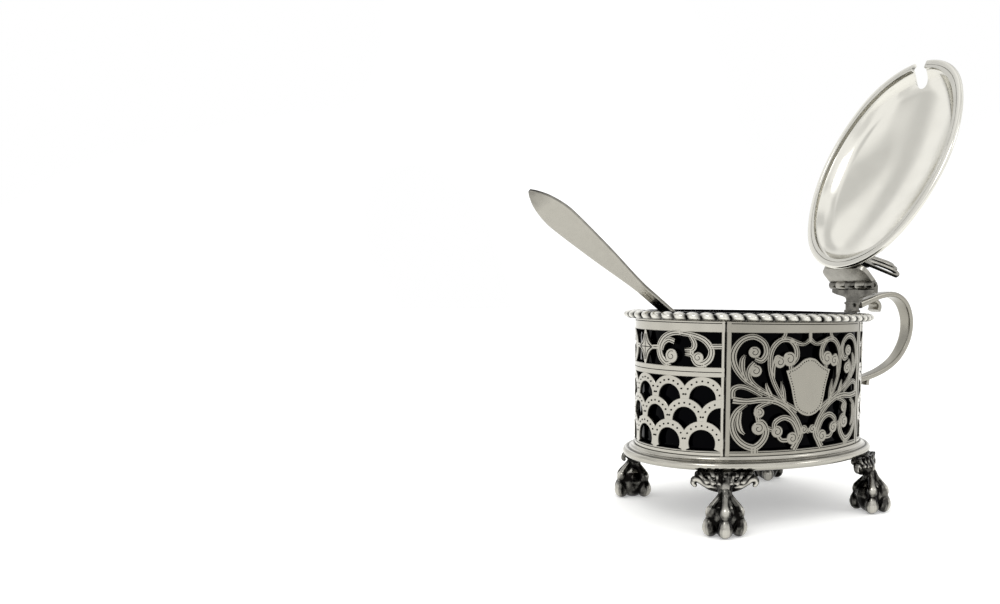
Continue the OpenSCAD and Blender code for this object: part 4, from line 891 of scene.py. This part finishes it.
dome_points, dome_faces, dome_edges, dome_n = [], [], [], 160
for drop in (0.0, DOME_T):
    start, line = len(dome_points), dome_outline(drop)
    dome_points.append((LID_L * (1 - LID_LONG), 0, DOME_Z + DOME_H - drop))
    for q, z in line:
        dome_points += [(LID_L + (q * math.cos(a) - LID_L) * LID_LONG, q * math.sin(a) * dome_w / dome_l,
                         DOME_Z + z) for a in full_turn(dome_n)]
    dome_faces += [(start, start + 1 + j, start + 1 + (j + 1) % dome_n) for j in range(dome_n)]
    dome_faces += tube_faces(len(line), dome_n, start=start + 1)
    dome_edges.append(len(dome_points) - dome_n)
outer, inner = dome_edges
dome_faces += [(outer + j, outer + (j + 1) % dome_n, inner + (j + 1) % dome_n, inner + j)
               for j in range(dome_n)]
dome = make_piece("lid_dome_raised", dome_points, dome_faces, painted_lighter_silver, "lid", ["lid_dome"], angle=35)
bpy.ops.object.select_all(action="DESELECT")
bpy.ops.mesh.primitive_cylinder_add(vertices=96, radius=NOTCH_W / 2 * MM, depth=30 * MM,
                                    location=(notch_x * MM, 0, (LID_Z + 5) * MM))
cutter = bpy.context.object
bpy.ops.object.transform_apply(location=True)
for v in cutter.data.vertices:
    if v.co.x < notch_x * MM - 1e-6:
        v.co.x -= NOTCH_D * MM
notch = dome.modifiers.new("spoon_notch", "BOOLEAN")
notch.operation = "DIFFERENCE"
notch.solver = "EXACT"
notch.object = cutter
pick(dome)
bpy.ops.object.modifier_apply(modifier="spoon_notch")
bpy.data.objects.remove(cutter)
to_metres = Matrix.Scale(MM, 4)
dome.data.transform(to_metres @ swing @ to_metres.inverted())
bpy.ops.object.shade_smooth_by_angle(angle=math.radians(35))

# Thumbpiece: nine pierced loops side by side, cast as one curved shell and soldered on the lid over the
# hinge. Each loop is rounded over, with a slit in its middle; dark oxide lies between the loops.
SHELL_FOOT_R, SHELL_TOP_R, SHELL_TALL, LOOPS, SHELL_Z = 9.0, 13.0, 16.1, 9, 63.7
SLIT_HALF_W, SLIT_HALF_H, SLIT_MID = 0.75, 4.4, 10.2
shell_half = math.radians(58)
loop_a = 2 * shell_half / LOOPS
loop_top = 1.08 * SHELL_TOP_R * math.tan(loop_a / 2)
loop_foot = 1.16 * SHELL_FOOT_R * math.tan(loop_a / 2)
loop_round = SHELL_TALL - loop_top
loop_side = [(loop_foot, 0), (loop_foot, 0.01)]
loop_side += [(loop_foot + (loop_top - loop_foot) * k / 10, loop_round * k / 10) for k in range(1, 10)]
loop_edge = (loop_side + arc_points(0, loop_round, loop_top, 0, 180, 20)
             + [(-u, v) for u, v in loop_side[::-1]] + [(loop_foot * k / 4, 0) for k in range(-3, 4)])
# Across the metal of a loop: share of the way from the slit to the edge, height and darkness.
loop_section = ((1, 0.0, 0.6), (1, 0.75, 0.9), (0.93, 1.0, 0.5), (0.8, 1.2, 0), (0.55, 1.2, 0),
                (0.25, 1.0, 0), (0.06, 0.85, 0.5), (0, 0.6, 0.8), (0, 0.2, 0.9), (0.3, 0.0, 0.6))
dome_line = dome_outline(0.0)
shell_points, shell_faces, shell_dark = [], [], []
for k in range(LOOPS):
    turn = math.pi - shell_half + (k + 0.5) * loop_a
    start = len(shell_points)
    for u, v in loop_edge:
        away = math.hypot(u, v - SLIT_MID)
        du, dv = u / away, (v - SLIT_MID) / away
        slit = 1 / math.sqrt((du / SLIT_HALF_W) ** 2 + (dv / SLIT_HALF_H) ** 2)
        for share, lift, dark_here in loop_section:
            q = slit + (away - slit) * share
            across, up = du * q, SLIT_MID + dv * q
            radius = SHELL_FOOT_R + (SHELL_TOP_R - SHELL_FOOT_R) * up / SHELL_TALL + lift
            local = Vector((radius, across, up))
            local.rotate(Matrix.Rotation(turn, 3, "Z"))
            local += Vector((HINGE_X, 0, SHELL_Z))
            q = math.hypot((local.x - LID_L) / LID_LONG + LID_L, local.y * dome_l / dome_w)
            local.z = max(local.z, DOME_Z + along_line(q, dome_line) - DOME_T / 2)
            shell_points.append(swing @ local)
            shell_dark.append(dark_here)
    shell_faces += tube_faces(len(loop_edge), len(loop_section), True, start=start)
make_piece("thumbpiece_cast", shell_points, shell_faces, worn_silver, "lid", ["thumbpiece"], shell_dark,
           angle=50)

# Spoon: forged from one silver bar, with an egg-shaped bowl, a slender shank and a flat end drawn to a
# point. It stands in the liner and leans on its rim.
SPOON_L, SPOON_LEAN, SPOON_ROLL, SPOON_GAP = 117.0, 36.8, 33, 0.3
BOWL_W, BOWL_D, GRIP_W, SHANK_W, SHANK_T = 16.0, 4.2, 9.6, 3.3, 1.15
# Stations of along, half width, half thickness and dish.
b, d, g, s, l = BOWL_W / 2, BOWL_D, GRIP_W / 2, SHANK_W / 2, SPOON_L
spoon_stations = [
    [0, b * 0.1, 0.35, d * 0.02], [2, b * 0.52, 0.45, d * 0.3], [6, b * 0.86, 0.5, d * 0.75],
    [12, b, 0.5, d], [18, b * 0.88, 0.5, d * 0.8], [22, b * 0.6, 0.6, d * 0.4],
    [25.5, b * 0.33, 0.9, d * 0.1], [30, s * 1.02, 1.2, 0], [40, s * 0.97, SHANK_T, 0],
    [l - 48, s, SHANK_T, 0], [l - 40, s * 1.15, 1.1, 0], [l - 27, g * 0.74, 1, 0],
    [l - 14, g * 0.98, 0.95, 0], [l - 9, g * 0.97, 0.95, 0], [l - 4.5, g * 0.72, 0.9, 0],
    [l - 1.5, g * 0.36, 0.8, 0], [l, g * 0.08, 0.6, 0]]
roll, lean = math.radians(SPOON_ROLL), math.radians(SPOON_LEAN)
lift = SHANK_W / 2 * math.sin(roll) + SHANK_T * math.cos(roll) + SPOON_GAP
cross = Vector((-(BODY_HALF_L - LINER_OUT - LINER_T) + lift * math.sin(lean), 0,
                RIM_TOP + lift * math.cos(lean)))
under = (cross.z - LEDGE_TOP - LINER_FLOOR - 1.5) / math.sin(lean)
lay = (Matrix.Translation(cross) @ Matrix.Rotation(math.pi, 4, "Z") @ Matrix.Rotation(-lean, 4, "Y")
       @ Matrix.Rotation(roll, 4, "X") @ Matrix.Translation((-under, 0, 0)))
spoon_points, spoon_dark, spoon_n = [], [], 32
spoon_curve = spline(spoon_stations, 8)
for along, wide, thick, dish in spoon_curve:
    for a in full_turn(spoon_n):
        y, z = math.cos(a), -math.sin(a)
        ridge = 0.35 * max(0.0, 1 - abs(y) / 0.5) * max(0.0, 1 - (l - along) / 7) if z > 0 else 0.0
        up = thick * math.copysign(abs(z) ** 0.6, z) - dish * (1 - y * y) + ridge * min(1, (l - along) / 2)
        spoon_points.append(lay @ Vector((along, wide * y, up)))
        spoon_dark.append(0.1 + 0.4 * (abs(y) > 0.97) + 0.45 * max(0.0, 1 - (l - along) / 6))
spoon_faces = tube_faces(len(spoon_curve), spoon_n, caps=True)
make_piece("spoon_forged", spoon_points, spoon_faces, middle_tone_silver, "spoon", ["spoon"], spoon_dark, angle=50)

low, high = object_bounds()
